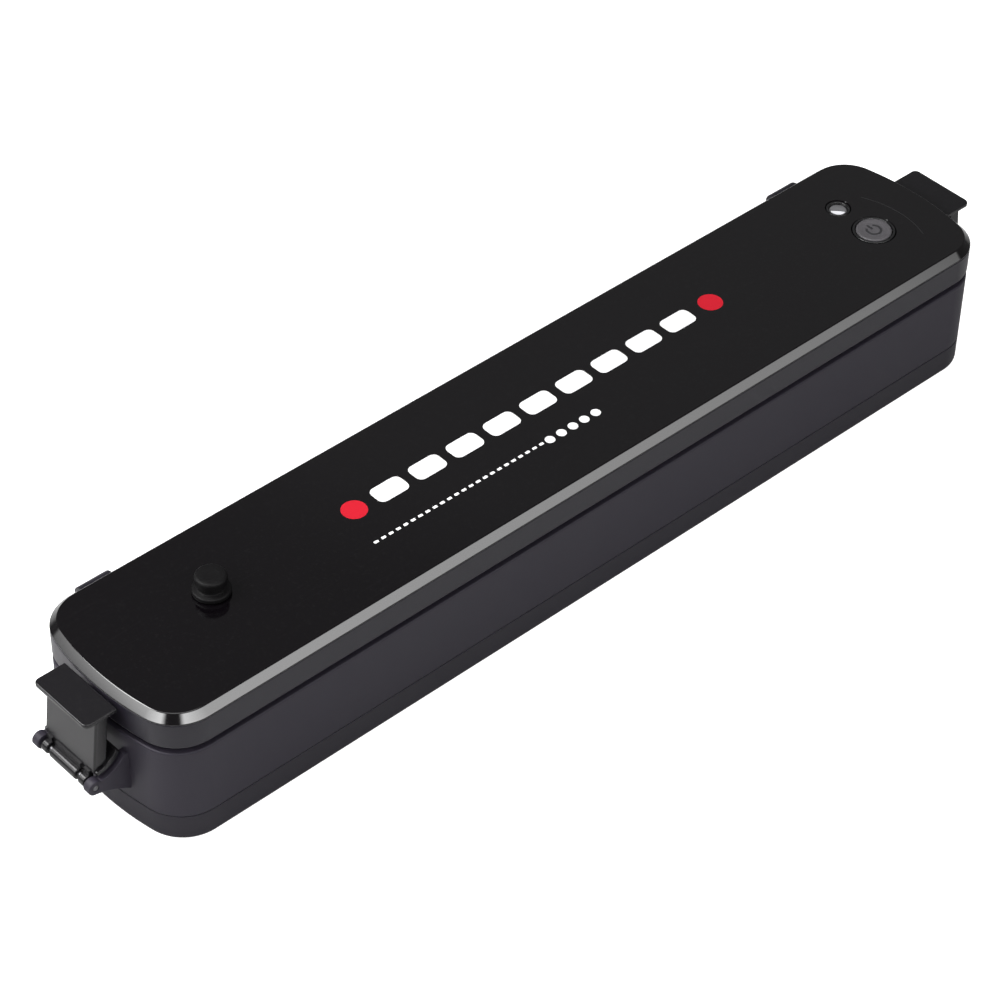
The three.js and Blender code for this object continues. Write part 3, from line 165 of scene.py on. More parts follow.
class SealerGraphic(bpy.types.PropertyGroup):
    dashes: how_many("Dashes", "How many wide dashes are printed", 9)
    dash_pitch: length("Dash pitch", "Distance from one wide dash to the next", 0.0158)
    dash_length: length("Dash length", "Length of a wide dash", 0.0122)
    dash_height: length("Dash height", "Height of a wide dash", 0.0074)
    ticks: how_many("Ticks", "How many small ticks are printed", 24)
    tick_pitch: length("Tick pitch", "Distance from one small tick to the next", 0.003)
    ink: length("Ink", "Thickness of the printed ink", 0.00004)


class SealerColours(bpy.types.PropertyGroup):
    housing: colour("Housing", "Satin plastic of the housing", (0.0157, 0.0134, 0.0202))
    base: colour("Base", "Plastic of the base", (0.0119, 0.0103, 0.0150))
    lid: colour("Lid", "Plastic of the lid's band", (0.0095, 0.0083, 0.0125))
    panel: colour("Panel", "Glossy plate on the lid", (0.0016, 0.0012, 0.0017))
    latch: colour("Latch", "Plastic of the latch levers", (0.0058, 0.0054, 0.0063))
    button: colour("Button", "Start button", (0.066, 0.063, 0.068))
    rubber: colour("Rubber", "Feet and release valve", (0.0022, 0.0020, 0.0023))
    print_light: colour("Light print", "Printed dashes and ticks", (0.7, 0.7, 0.7))
    print_accent: colour("Accent print", "Printed discs", (0.42, 0.005, 0.016))


class SealerStage(bpy.types.PropertyGroup):
    azimuth: turn_angle("Azimuth", "Camera's turn from the front to the left end", -43.09)
    elevation: turn_angle("Elevation", "Camera's height over the floor, as an angle", 42.03)
    roll: turn_angle("Roll", "Camera's roll", 1.15)
    distance: length("Distance", "Camera's distance from the housing", 1.05109)
    across: length("Across", "Sideways shift of the camera", -0.01317, lowest=-1.0)
    along: length("Up", "Upward shift of the camera", -0.00621, lowest=-1.0)
    aim_height: length("Aim height", "Height of the point that the camera circles", 0.023)
    lens: FloatProperty(name="Lens", description="Focal length in millimetres", default=115.76, unit="CAMERA")
    floor: colour("Floor", "Plain pale floor", (0.55, 0.55, 0.55))


def bench_mm(value):
    return value * THOUSAND


def setting_names(settings):
    return [name for name in settings.bl_rna.properties.keys() if name not in ("rna_type", "name")]


# ------------------------------------------------------------------ outlines and profiles


def arc(x, y, radius, start, end, steps):
    turns = [start + (end - start) * i / steps for i in range(steps + 1)]
    return [(x + radius * math.cos(t), y + radius * math.sin(t)) for t in turns]


def bend(a, b, c, steps=10):
    """Points of a quadratic curve from a to c, drawn towards b."""
    a, b, c = Vector(a), Vector(b), Vector(c)
    shares = [i / steps for i in range(steps + 1)]
    return [tuple((1 - t) ** 2 * a + 2 * t * (1 - t) * b + t * t * c) for t in shares]


def rounded(points, closed=False, steps=4):
    """A polyline with its corners turned into arcs. A point is (a, b), or (a, b, radius)."""
    result = []
    count = len(points)
    for i, point in enumerate(points):
        here = Vector(point[:2])
        radius = point[2] if len(point) > 2 else 0
        if radius == 0 or (not closed and i in (0, count - 1)):
            result.append(tuple(here))
            continue
        before = Vector(points[i - 1][:2]) - here
        after = Vector(points[(i + 1) % count][:2]) - here
        half = before.angle(after) / 2
        reach = min(radius / math.tan(half), 0.49 * before.length, 0.49 * after.length)
        before.normalize()
        after.normalize()
        middle = here + (before + after).normalized() * (reach / math.cos(half))
        start = here + before * reach - middle
        end = here + after * reach - middle
        first = math.atan2(start.y, start.x)
        turn = math.atan2(start.x * end.y - start.y * end.x, start.dot(end))
        size = start.length
        for k in range(steps + 1):
            angle = first + turn * k / steps
            result.append((middle.x + size * math.cos(angle), middle.y + size * math.sin(angle)))
    return result


OUTLINE_STEPS = 14


def housing_outline(sizes, inset):
    """The housing seen from above, anticlockwise, moved inwards by inset."""
    bulge = bench_mm(sizes.end_bulge)
    radius = bench_mm(sizes.corner_radius)
    end_radius = (SIDE_Y**2 + bulge**2) / (2 * bulge)
    end_middle = END_X - end_radius
    corner_y = SIDE_Y - radius
    corner_x = end_middle + math.sqrt((end_radius - radius) ** 2 - corner_y**2)
    turn = math.asin(corner_y / (end_radius - radius))
    quarter = math.pi / 2
    right = arc(corner_x, -corner_y, radius - inset, -quarter, -turn, OUTLINE_STEPS)
    right += arc(end_middle, 0, end_radius - inset, -turn, turn, OUTLINE_STEPS)[1:]
    right += arc(corner_x, corner_y, radius - inset, turn, quarter, OUTLINE_STEPS)[1:]
    return right + [(-x, -y) for x, y in right]


def slot_outline(size_x, size_y, y, steps=16):
    """A long slot with round ends, anticlockwise."""
    radius = size_y / 2
    reach = size_x / 2 - radius
    quarter = math.pi / 2
    right = arc(reach, 0, radius, -quarter, quarter, steps)
    return [(px, py + y) for px, py in right + [(-px, -py) for px, py in right]]


def rectangle(x0, x1, y0, y1, radius):
    return rounded([(x0, y0, radius), (x1, y0, radius), (x1, y1, radius), (x0, y1, radius)], closed=True)


def circle(radius, sides):
    return arc(0, 0, radius, 0, 2 * math.pi, sides)[:-1]


# ------------------------------------------------------------------ shapes on the bench


SAME_POINT = 1e-5
SAME_CORNER = 1e-4
ON_AXIS = 1e-6


def bench(name, points, faces):
    """A closed shape on the bench, with its faces turned outwards."""
    form = bmesh.new()
    corners = [form.verts.new(p) for p in points]
    for face in faces:
        form.faces.new([corners[i] for i in face])
    bmesh.ops.remove_doubles(form, verts=form.verts, dist=SAME_POINT)
    bmesh.ops.recalc_face_normals(form, faces=form.faces)
    mesh = bpy.data.meshes.new(name)
    form.to_mesh(mesh)
    form.free()
    obj = bpy.data.objects.new(name, mesh)
    bpy.context.scene.collection.objects.link(obj)
    return obj


def skin(name, rings, ring_shaped=False):
    """A shape through rings of as many points each. It is capped, or its last ring joins the first."""
    count = len(rings[0])
    points = [p for ring in rings for p in ring]
    levels = len(rings)
    faces = []
    for level in range(levels if ring_shaped else levels - 1):
        after = (level + 1) % levels
        for i in range(count):
            j = (i + 1) % count
            faces.append((level * count + i, level * count + j, after * count + j, after * count + i))
    if not ring_shaped:
        faces.append(tuple(reversed(range(count))))
        faces.append(tuple(range((levels - 1) * count, levels * count)))
    return bench(name, points, faces)


def housing_form(sizes, name, profile, ring_shaped=False):
    """A shape that follows the housing's outline. The profile is a list of (inset, height)."""
    rings = [[(x, y, z) for x, y in housing_outline(sizes, inset)] for inset, z in profile]
    return skin(name, rings, ring_shaped)


def slot_form(name, size_x, size_y, y, profile, ring_shaped=False):
    """A shape that follows a slot's outline. The profile is a list of (growth, height)."""
    rings = [[(px, py, z) for px, py in slot_outline(size_x + 2 * g, size_y + 2 * g, y)] for g, z in profile]
    return skin(name, rings, ring_shaped)


AXES = {
    "X": lambda a, b, h: (h, a, b),
    "Y": lambda a, b, h: (a, h, b),
    "Z": lambda a, b, h: (a, b, h),
}


def prism(name, shape, start, end, axis="Z"):
    """A drawn shape pulled along an axis."""
    to_space = AXES[axis]
    return skin(name, [[to_space(a, b, h) for a, b in shape] for h in (start, end)])


def turned(name, profile, a, b, axis="Z", sides=64, ring_shaped=False):
    """A round shape about a line along an axis. The profile is a list of (radius, height)."""
    to_space = AXES[axis]
    turns = [2 * math.pi * i / sides for i in range(sides)]
    rings = []
    for radius, h in profile:
        reach = max(radius, ON_AXIS)
        rings.append([to_space(a + reach * math.cos(t), b + reach * math.sin(t), h) for t in turns])
    if ring_shaped:
        return skin(name, rings, ring_shaped=True)
    points = [p for ring in rings for p in ring]
    faces = []
    for level in range(len(rings) - 1):
        for i in range(sides):
            j = (i + 1) % sides
            quad = [level * sides + i, level * sides + j, (level + 1) * sides + j, (level + 1) * sides + i]
            if profile[level][0] == 0:
                quad = [level * sides, quad[2], quad[3]]
            elif profile[level + 1][0] == 0:
                quad = [quad[0], quad[1], (level + 1) * sides]
            faces.append(tuple(quad))
    if profile[0][0] > 0:
        faces.append(tuple(reversed(range(sides))))
    if profile[-1][0] > 0:
        faces.append(tuple(range((len(rings) - 1) * sides, len(rings) * sides)))
    used = sorted({i for face in faces for i in face})
    order = {old: new for new, old in enumerate(used)}
    return bench(name, [points[i] for i in used], [tuple(order[i] for i in face) for face in faces])


def rod(name, radius, start, end, a, b, axis="Z", edge=0.0, sides=48):
    """A round rod with softened ends."""
    profile = rounded([(0, start), (radius, start, edge), (radius, end, edge), (0, end)], steps=4)
    return turned(name, profile, a, b, axis, sides)


def block(name, x, y, z):
    """A plain rectangular block, between two limits along each axis."""
    return prism(name, rectangle(*x, *y, 0), *z)


def corner_rods(place, radius, start, end):
    """Four upright rods, one in each corner of the rectangle that has place at one of them."""
    x, y = abs(place.x), abs(place.y)
    return [rod("rod", radius, start, end, sx * x, sy * y) for sx in (-1, 1) for sy in (-1, 1)]


def settle(obj):
    """Turns an object's modifiers into its plain mesh."""
    view = bpy.context.evaluated_depsgraph_get()
    mesh = bpy.data.meshes.new_from_object(obj.evaluated_get(view), depsgraph=view)
    old = obj.data
    obj.modifiers.clear()
    obj.data = mesh
    bpy.data.meshes.remove(old)
    return obj


def softened(obj, width, segments=3):
    """Rounds a simple shape's sharp edges."""
    bevel = obj.modifiers.new("edge", "BEVEL")
    bevel.width = width
    bevel.segments = segments
    bevel.limit_method = "ANGLE"
    bevel.angle_limit = math.radians(40)
    return settle(obj)


def combine(obj, others, operation):
    for other in others:
        step = obj.modifiers.new("combine", "BOOLEAN")
        step.operation = operation
        step.solver = "MANIFOLD"
        step.object = other
    settle(obj)
    for other in others:
        mesh = other.data
        bpy.data.objects.remove(other)
        bpy.data.meshes.remove(mesh)
    return obj


def join(obj, *others):
    return combine(obj, others, "UNION")


def cut(obj, *tools):
    return combine(obj, tools, "DIFFERENCE")


def turned_round(obj, degrees=180):
    """Turns a shape about the bench's upright line, by default to the housing's other end."""
    obj.data.transform(Matrix.Rotation(math.radians(degrees), 4, "Z"))
    return obj


def moved(obj, place):
    """Moves a shape that was made about x = y = 0 to a place, at its own height."""
    obj.data.transform(Matrix.Translation((place.x, place.y, 0)))
    return obj


def hand_over(obj, name, body, slot, *nodes, sharp=34, finish=None):
    """Takes a finished shape from the bench to its place, smooths it, and rides it on its body."""
    form = bmesh.new()
    form.from_mesh(obj.data)
    bmesh.ops.remove_doubles(form, verts=form.verts, dist=SAME_CORNER)
    bmesh.ops.dissolve_degenerate(form, edges=form.edges, dist=SAME_CORNER)
    open_edges = sum(not edge.is_manifold for edge in form.edges)
    form.to_mesh(obj.data)
    form.free()
    if open_edges:
        raise RuntimeError(f"{name} has {open_edges} open edges")
    obj.data.transform(Matrix.Translation((0, MIDDLE, 0)) @ Matrix.Scale(1 / THOUSAND, 4))
    obj.data.shade_smooth()
    obj.data.set_sharp_from_angle(angle=math.radians(sharp))
    weighted = obj.modifiers.new("normals", "WEIGHTED_NORMAL")
    weighted.keep_sharp = True
    weighted.weight = 80
    settle(obj)
    obj.name = name
    obj.data.name = name
    obj.data.materials.clear()
    obj.data.materials.append(finish or FINISHES[slot])
    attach(obj, body)
    if nodes:
        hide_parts(*nodes)
    return obj


# ------------------------------------------------------------------ geometry node trees

KINDS = {"Float": "NodeSocketFloat", "Int": "NodeSocketInt", "Vector": "NodeSocketVector"}


def geometry_tree(name, inputs):
    tree = bpy.data.node_groups.new(name, "GeometryNodeTree")
    tree.interface.new_socket("Geometry", in_out="INPUT", socket_type="NodeSocketGeometry")
    for label, kind in inputs:
        tree.interface.new_socket(label, in_out="INPUT", socket_type=KINDS[kind])
    tree.interface.new_socket("Material", in_out="INPUT", socket_type="NodeSocketMaterial")
    tree.interface.new_socket("Geometry", in_out="OUTPUT", socket_type="NodeSocketGeometry")
    source = tree.nodes.new("NodeGroupInput")
    return tree, source


def link_all(tree, *wires):
    for start, end in wires:
        tree.links.new(start, end)


def close_tree(tree, source, shape):
    """Ends a tree in Realize Instances and Set Material."""
    real = tree.nodes.new("GeometryNodeRealizeInstances")
    paint = tree.nodes.new("GeometryNodeSetMaterial")
    result = tree.nodes.new("NodeGroupOutput")
    link_all(
        tree,
        (shape, real.inputs["Geometry"]),
        (real.outputs["Geometry"], paint.inputs["Geometry"]),
        (source.outputs["Material"], paint.inputs["Material"]),
        (paint.outputs["Geometry"], result.inputs["Geometry"]),
    )
    return tree


def copy_to_points(tree, source, points):
    """Puts a copy of the incoming shape on each point, and ends the tree."""
    copies = tree.nodes.new("GeometryNodeInstanceOnPoints")
    link_all(tree, (points, copies.inputs["Points"]), (source.outputs["Geometry"], copies.inputs["Instance"]))
    return close_tree(tree, source, copies.outputs["Instances"])


def corner_copies_tree():
    """Copies a shape to the four corners of a rectangle."""
    tree, source = geometry_tree("corner_copies", [("Spacing X", "Float"), ("Spacing Y", "Float")])
    grid = tree.nodes.new("GeometryNodeMeshGrid")
    for axis in ("X", "Y"):
        grid.inputs[f"Vertices {axis}"].default_value = 2
        tree.links.new(source.outputs[f"Spacing {axis}"], grid.inputs[f"Size {axis}"])
    return copy_to_points(tree, source, grid.outputs["Mesh"])


def row_tree():
    """Copies a shape along a straight row."""
    tree, source = geometry_tree("row_copies", [("Count", "Int"), ("Start", "Vector"), ("Step", "Vector")])
    line = tree.nodes.new("GeometryNodeMeshLine")
    for label, socket in (("Count", "Count"), ("Start", "Start Location"), ("Step", "Offset")):
        tree.links.new(source.outputs[label], line.inputs[socket])
    return copy_to_points(tree, source, line.outputs["Mesh"])


def loop_tree():
    """Runs a rounded rectangular section round a slot-shaped loop."""
    lengths = ("Loop Length", "Loop Width", "Section Width", "Section Height", "Section Rounding")
    inputs = [(label, "Float") for label in lengths] + [("Place", "Vector")]
    tree, source = geometry_tree("gasket_loop", inputs)
    loop = tree.nodes.new("GeometryNodeCurvePrimitiveQuadrilateral")
    loop_round = tree.nodes.new("GeometryNodeFilletCurve")
    upright = tree.nodes.new("GeometryNodeSetCurveNormal")
    half = tree.nodes.new("ShaderNodeMath")
    section = tree.nodes.new("GeometryNodeCurvePrimitiveQuadrilateral")
    section_round = tree.nodes.new("GeometryNodeFilletCurve")
    sweep = tree.nodes.new("GeometryNodeCurveToMesh")
    place = tree.nodes.new("GeometryNodeTransform")
    half.operation = "MULTIPLY"
    half.inputs[1].default_value = 0.4999  # just under a half, so that the two end arcs don't meet
    for fillet, count in ((loop_round, 20), (section_round, 4)):
        fillet.mode = "POLY"
        fillet.inputs["Count"].default_value = count
        fillet.inputs["Limit Radius"].default_value = True
    upright.mode = "Z_UP"
    link_all(
        tree,
        (source.outputs["Loop Length"], loop.inputs["Width"]),
        (source.outputs["Loop Width"], loop.inputs["Height"]),
        (source.outputs["Loop Width"], half.inputs[0]),
        (loop.outputs["Curve"], loop_round.inputs["Curve"]),
        (half.outputs[0], loop_round.inputs["Radius"]),
        (loop_round.outputs["Curve"], upright.inputs["Curve"]),
        (source.outputs["Section Width"], section.inputs["Width"]),
        (source.outputs["Section Height"], section.inputs["Height"]),
        (section.outputs["Curve"], section_round.inputs["Curve"]),
        (source.outputs["Section Rounding"], section_round.inputs["Radius"]),
        (upright.outputs["Curve"], sweep.inputs["Curve"]),
        (section_round.outputs["Curve"], sweep.inputs["Profile Curve"]),
        (sweep.outputs["Mesh"], place.inputs["Geometry"]),
        (source.outputs["Place"], place.inputs["Translation"]),
    )
    return close_tree(tree, source, place.outputs["Geometry"])


def grown(obj, tree, slot, **values):
    """Runs a tree on a shape and keeps the result as a plain mesh."""
    step = obj.modifiers.new(tree.name, "NODES")
    step.node_group = tree
    labels = {item.name: item.identifier for item in tree.interface.items_tree if item.in_out == "INPUT"}
    for label, value in values.items():
        step[labels[label.replace("_", " ")]] = value
    step[labels["Material"]] = FINISHES[slot]
    return settle(obj)


# ------------------------------------------------------------------ shader groups shared by the finishes


def shader_group(name, inputs, outputs):
    tree = bpy.data.node_groups.new(name, "ShaderNodeTree")
    for label, default in inputs:
        socket = tree.interface.new_socket(label, in_out="INPUT", socket_type="NodeSocketFloat")
        socket.default_value = default
    for label in outputs:
        tree.interface.new_socket(label, in_out="OUTPUT", socket_type="NodeSocketFloat")
    return tree, tree.nodes.new("NodeGroupInput"), tree.nodes.new("NodeGroupOutput")


def feed(tree, socket, value):
    if isinstance(value, bpy.types.NodeSocket):
        tree.links.new(value, socket)
    else:
        socket.default_value = value


def calc(tree, operation, a, b, clamp=False):
    node = tree.nodes.new("ShaderNodeMath")
    node.operation = operation
    node.use_clamp = clamp
    feed(tree, node.inputs[0], a)
    feed(tree, node.inputs[1], b)
    return node.outputs[0]


def own_coordinates(tree):
    return tree.nodes.new("ShaderNodeTexCoord").outputs["Object"]


def product(tree, a, b, c):
    return calc(tree, "MULTIPLY", calc(tree, "MULTIPLY", a, b), c)


def noise(tree, scale, detail, roughness=0.5, stretch=None):
    """A noise pattern on the piece's own coordinates, in cells to the metre."""
    place = own_coordinates(tree)
    if stretch:
        mapping = tree.nodes.new("ShaderNodeMapping")
        mapping.inputs["Scale"].default_value = stretch
        tree.links.new(place, mapping.inputs["Vector"])
        place = mapping.outputs["Vector"]
    node = tree.nodes.new("ShaderNodeTexNoise")
    tree.links.new(place, node.inputs["Vector"])
    feed(tree, node.inputs["Scale"], scale)
    node.inputs["Detail"].default_value = detail
    node.inputs["Roughness"].default_value = roughness
    return node.outputs["Fac"]


def ramp(tree, value, start, end, low_value=0.0, high_value=1.0):
    node = tree.nodes.new("ShaderNodeMapRange")
    feed(tree, node.inputs["Value"], value)
    limits = {"From Min": start, "From Max": end, "To Min": low_value, "To Max": high_value}
    for label, limit in limits.items():
        node.inputs[label].default_value = limit
    return node.outputs["Result"]


def grain_group():
    """The fine texture of a moulding tool, with a slow drift in gloss and tone."""
    tree, source, result = shader_group("moulded_grain", [("Scale", 1500.0)], ["Height", "Drift"])
    fine = noise(tree, source.outputs["Scale"], 2.0, 0.6)
    wide = noise(tree, calc(tree, "MULTIPLY", source.outputs["Scale"], 0.31), 2.0, 0.5)
    feed(tree, result.inputs["Height"], calc(tree, "ADD", calc(tree, "MULTIPLY", wide, 0.6), fine))
    feed(tree, result.inputs["Drift"], noise(tree, 14.0, 3.0, 0.55))
    return tree


def wear_group():
    """A broken mask along a piece's edges, where handling rubs them."""
    tree, source, result = shader_group("edge_wear", [("Radius", 0.0006)], ["Mask"])
    soft = tree.nodes.new("ShaderNodeBevel")
    soft.samples = 4
    tree.links.new(source.outputs["Radius"], soft.inputs["Radius"])
    face = tree.nodes.new("ShaderNodeNewGeometry")
    dot = tree.nodes.new("ShaderNodeVectorMath")
    dot.operation = "DOT_PRODUCT"
    tree.links.new(soft.outputs["Normal"], dot.inputs[0])
    tree.links.new(face.outputs["Normal"], dot.inputs[1])
    edge = ramp(tree, calc(tree, "SUBTRACT", 1.0, dot.outputs["Value"]), 0.01, 0.16)
    broken = ramp(tree, noise(tree, 420.0, 5.0, 0.65), 0.42, 0.7)
    feed(tree, result.inputs["Mask"], calc(tree, "MULTIPLY", edge, broken, clamp=True))
    return tree


def dust_group():
    """A thin veil on faces that look up."""
    tree, source, result = shader_group("dust", [("Amount", 0.1)], ["Mask"])
    face = tree.nodes.new("ShaderNodeNewGeometry")
    split = tree.nodes.new("ShaderNodeSeparateXYZ")
    tree.links.new(face.outputs["Normal"], split.inputs[0])
    facing_up = ramp(tree, split.outputs["Z"], 0.4, 1.0)
    veil = ramp(tree, noise(tree, 900.0, 4.0, 0.7), 0.55, 0.75)
    feed(tree, result.inputs["Mask"], product(tree, facing_up, veil, source.outputs["Amount"]))
    return tree


def scuff_group():
    """Hair-fine wiping marks along a polished face."""
    tree, source, result = shader_group("wiping_marks", [("Amount", 0.1)], ["Mask"])
    marks = ramp(tree, noise(tree, 1.0, 3.0, 0.6, stretch=(35.0, 1900.0, 900.0)), 0.6, 0.72)
    patches = ramp(tree, noise(tree, 22.0, 2.0), 0.45, 0.7)
    feed(tree, result.inputs["Mask"], product(tree, marks, patches, source.outputs["Amount"]))
    return tree


# ------------------------------------------------------------------ finishes

GROUPS = {}
FINISHES = {}


def place_group(tree, name, **values):
    node = tree.nodes.new("ShaderNodeGroup")
    node.node_tree = GROUPS[name]
    for label, value in values.items():
        node.inputs[label].default_value = value
    return node.outputs


def blank(name, roughness, metallic=0.0, specular=0.5):
    material = bpy.data.materials.new(name)
    material.use_nodes = True
    tree = material.node_tree
    shader = tree.nodes["Principled BSDF"]
    shader.inputs["Roughness"].default_value = roughness
    shader.inputs["Metallic"].default_value = metallic
    shader.inputs["Specular IOR Level"].default_value = specular
    shader.inputs["IOR"].default_value = 1.5
    return material, tree, shader


def mix_colour(tree, share, first, second):
    node = tree.nodes.new("ShaderNodeMix")
    node.data_type = "RGBA"
    feed(tree, node.inputs[0], share)
    for socket, value in ((node.inputs[6], first), (node.inputs[7], second)):
        feed(tree, socket, value if isinstance(value, bpy.types.NodeSocket) else (*value, 1.0))
    return node.outputs[2]


def lighter(tint, factor, lift=0.0):
    return tuple(min(1.0, part * factor + lift) for part in tint)


def bump(tree, shader, height, strength, distance):
    node = tree.nodes.new("ShaderNodeBump")
    node.inputs["Strength"].default_value = strength
    node.inputs["Distance"].default_value = distance
    tree.links.new(height, node.inputs["Height"])
    tree.links.new(node.outputs["Normal"], shader.inputs["Normal"])


PLASTIC_DUST = (0.32, 0.31, 0.3)
PANEL_DUST = (0.3, 0.3, 0.3)
GRAIN_HEIGHT = 0.00006
RIPPLE_HEIGHT = 0.0002
LINE_HEIGHT = 0.00003
PIT_HEIGHT = 0.00012
THREAD_HEIGHT = 0.00008


def moulded(name, tint, roughness, scale, depth, specular=0.35, wear=0.3, dust=0.015, spread=0.1):
    """Moulded plastic or rubber: grain, drift in gloss, rubbed edges and a little dust."""
    material, tree, shader = blank(name, roughness, specular=specular)
    grain = place_group(tree, "grain", Scale=scale)
    worn = calc(tree, "MULTIPLY", place_group(tree, "wear")["Mask"], wear)
    veil = place_group(tree, "dust", Amount=dust)["Mask"]
    drifted = mix_colour(tree, grain["Drift"], lighter(tint, 0.86), lighter(tint, 1.14))
    rubbed = mix_colour(tree, worn, drifted, lighter(tint, 2.4, 0.012))
    dusty = mix_colour(tree, veil, rubbed, PLASTIC_DUST)
    feed(tree, shader.inputs["Base Color"], dusty)
    gloss = ramp(tree, grain["Drift"], 0.0, 1.0, roughness - spread, roughness + spread)
    gloss = calc(tree, "SUBTRACT", gloss, calc(tree, "MULTIPLY", worn, 0.2))
    feed(tree, shader.inputs["Roughness"], calc(tree, "ADD", gloss, veil, clamp=True))
    bump(tree, shader, grain["Height"], depth, GRAIN_HEIGHT)
    return material


def ink(name, tint, roughness, spread=0.1):
    """Printing ink, which neither rubs off nor gathers dust."""
    return moulded(name, tint, roughness, 2400.0, 0.1, wear=0.0, dust=0.0, spread=spread)


def polished(name, tint, roughness):
    """A polished black plate with faint wiping marks."""
    material, tree, shader = blank(name, roughness)
    marks = place_group(tree, "scuff", Amount=0.12)["Mask"]
    veil = place_group(tree, "dust", Amount=0.008)["Mask"]
    drift = place_group(tree, "grain", Scale=400.0)["Drift"]
    even = mix_colour(tree, drift, lighter(tint, 0.9), lighter(tint, 1.1))
    marked = mix_colour(tree, marks, even, lighter(tint, 3.0, 0.01))
    feed(tree, shader.inputs["Base Color"], mix_colour(tree, veil, marked, PANEL_DUST))
    gloss = ramp(tree, drift, 0.0, 1.0, roughness * 0.6, roughness * 1.4)
    feed(tree, shader.inputs["Roughness"], calc(tree, "ADD", gloss, marks, clamp=True))
    bump(tree, shader, noise(tree, 60.0, 1.0), 0.02, RIPPLE_HEIGHT)
    return material


def drawn_metal(name, tint, roughness):
    """Metal with fine lines along its length."""
    material, tree, shader = blank(name, roughness, metallic=1.0)
    lines = noise(tree, 1.0, 3.0, 0.6, stretch=(120.0, 2600.0, 2600.0))
    worn = place_group(tree, "wear", Radius=0.0003)["Mask"]
    toned = mix_colour(tree, lines, lighter(tint, 0.82), lighter(tint, 1.08))
    feed(tree, shader.inputs["Base Color"], mix_colour(tree, worn, toned, lighter(tint, 1.2)))
    feed(tree, shader.inputs["Roughness"], ramp(tree, lines, 0.0, 1.0, roughness - 0.2, roughness + 0.22))
    bump(tree, shader, lines, 0.12, LINE_HEIGHT)
    return material


def cellular(name, tint, roughness, scale, depth):
    """Closed-cell foam: small pits of uneven size."""
    material, tree, shader = blank(name, roughness, specular=0.2)
    cells = tree.nodes.new("ShaderNodeTexVoronoi")
    cells.inputs["Scale"].default_value = scale
    tree.links.new(own_coordinates(tree), cells.inputs["Vector"])
    pit = ramp(tree, cells.outputs["Distance"], 0.0, 0.6)
    feed(tree, shader.inputs["Base Color"], mix_colour(tree, pit, lighter(tint, 1.3), lighter(tint, 0.7)))
    feed(tree, shader.inputs["Roughness"], ramp(tree, pit, 0.0, 1.0, roughness, 1.0))
    bump(tree, shader, pit, depth, PIT_HEIGHT)
    return material


def banded(name, tint, other, roughness, scale, metallic=0.0, both_ways=False):
    """Threads or turns of wire side by side, and crossed if both_ways. The grooves between them are darkened
    with painted shade.
    """
    material, tree, shader = blank(name, roughness, metallic=metallic)
    place = own_coordinates(tree)
    bands = []
    for direction in ("X", "Y") if both_ways else ("X",):
        wave = tree.nodes.new("ShaderNodeTexWave")
        wave.bands_direction = direction
        wave.inputs["Scale"].default_value = scale
        tree.links.new(place, wave.inputs["Vector"])
        bands.append(wave.outputs["Fac"])
    height = calc(tree, "MAXIMUM", bands[0], bands[-1])
    stain = calc(tree, "MULTIPLY", noise(tree, 160.0, 3.0), 0.5)
    # Painted shade: the colour darkens where the bump is low, in the grooves between threads and turns.
    threads_with_painted_groove_shade = mix_colour(tree, height, lighter(tint, 0.7), tint)
    feed(tree, shader.inputs["Base Color"], mix_colour(tree, stain, threads_with_painted_groove_shade, other))
    feed(tree, shader.inputs["Roughness"], ramp(tree, height, 0.0, 1.0, roughness + 0.1, roughness - 0.05))
    bump(tree, shader, height, 0.5, THREAD_HEIGHT)
    return material


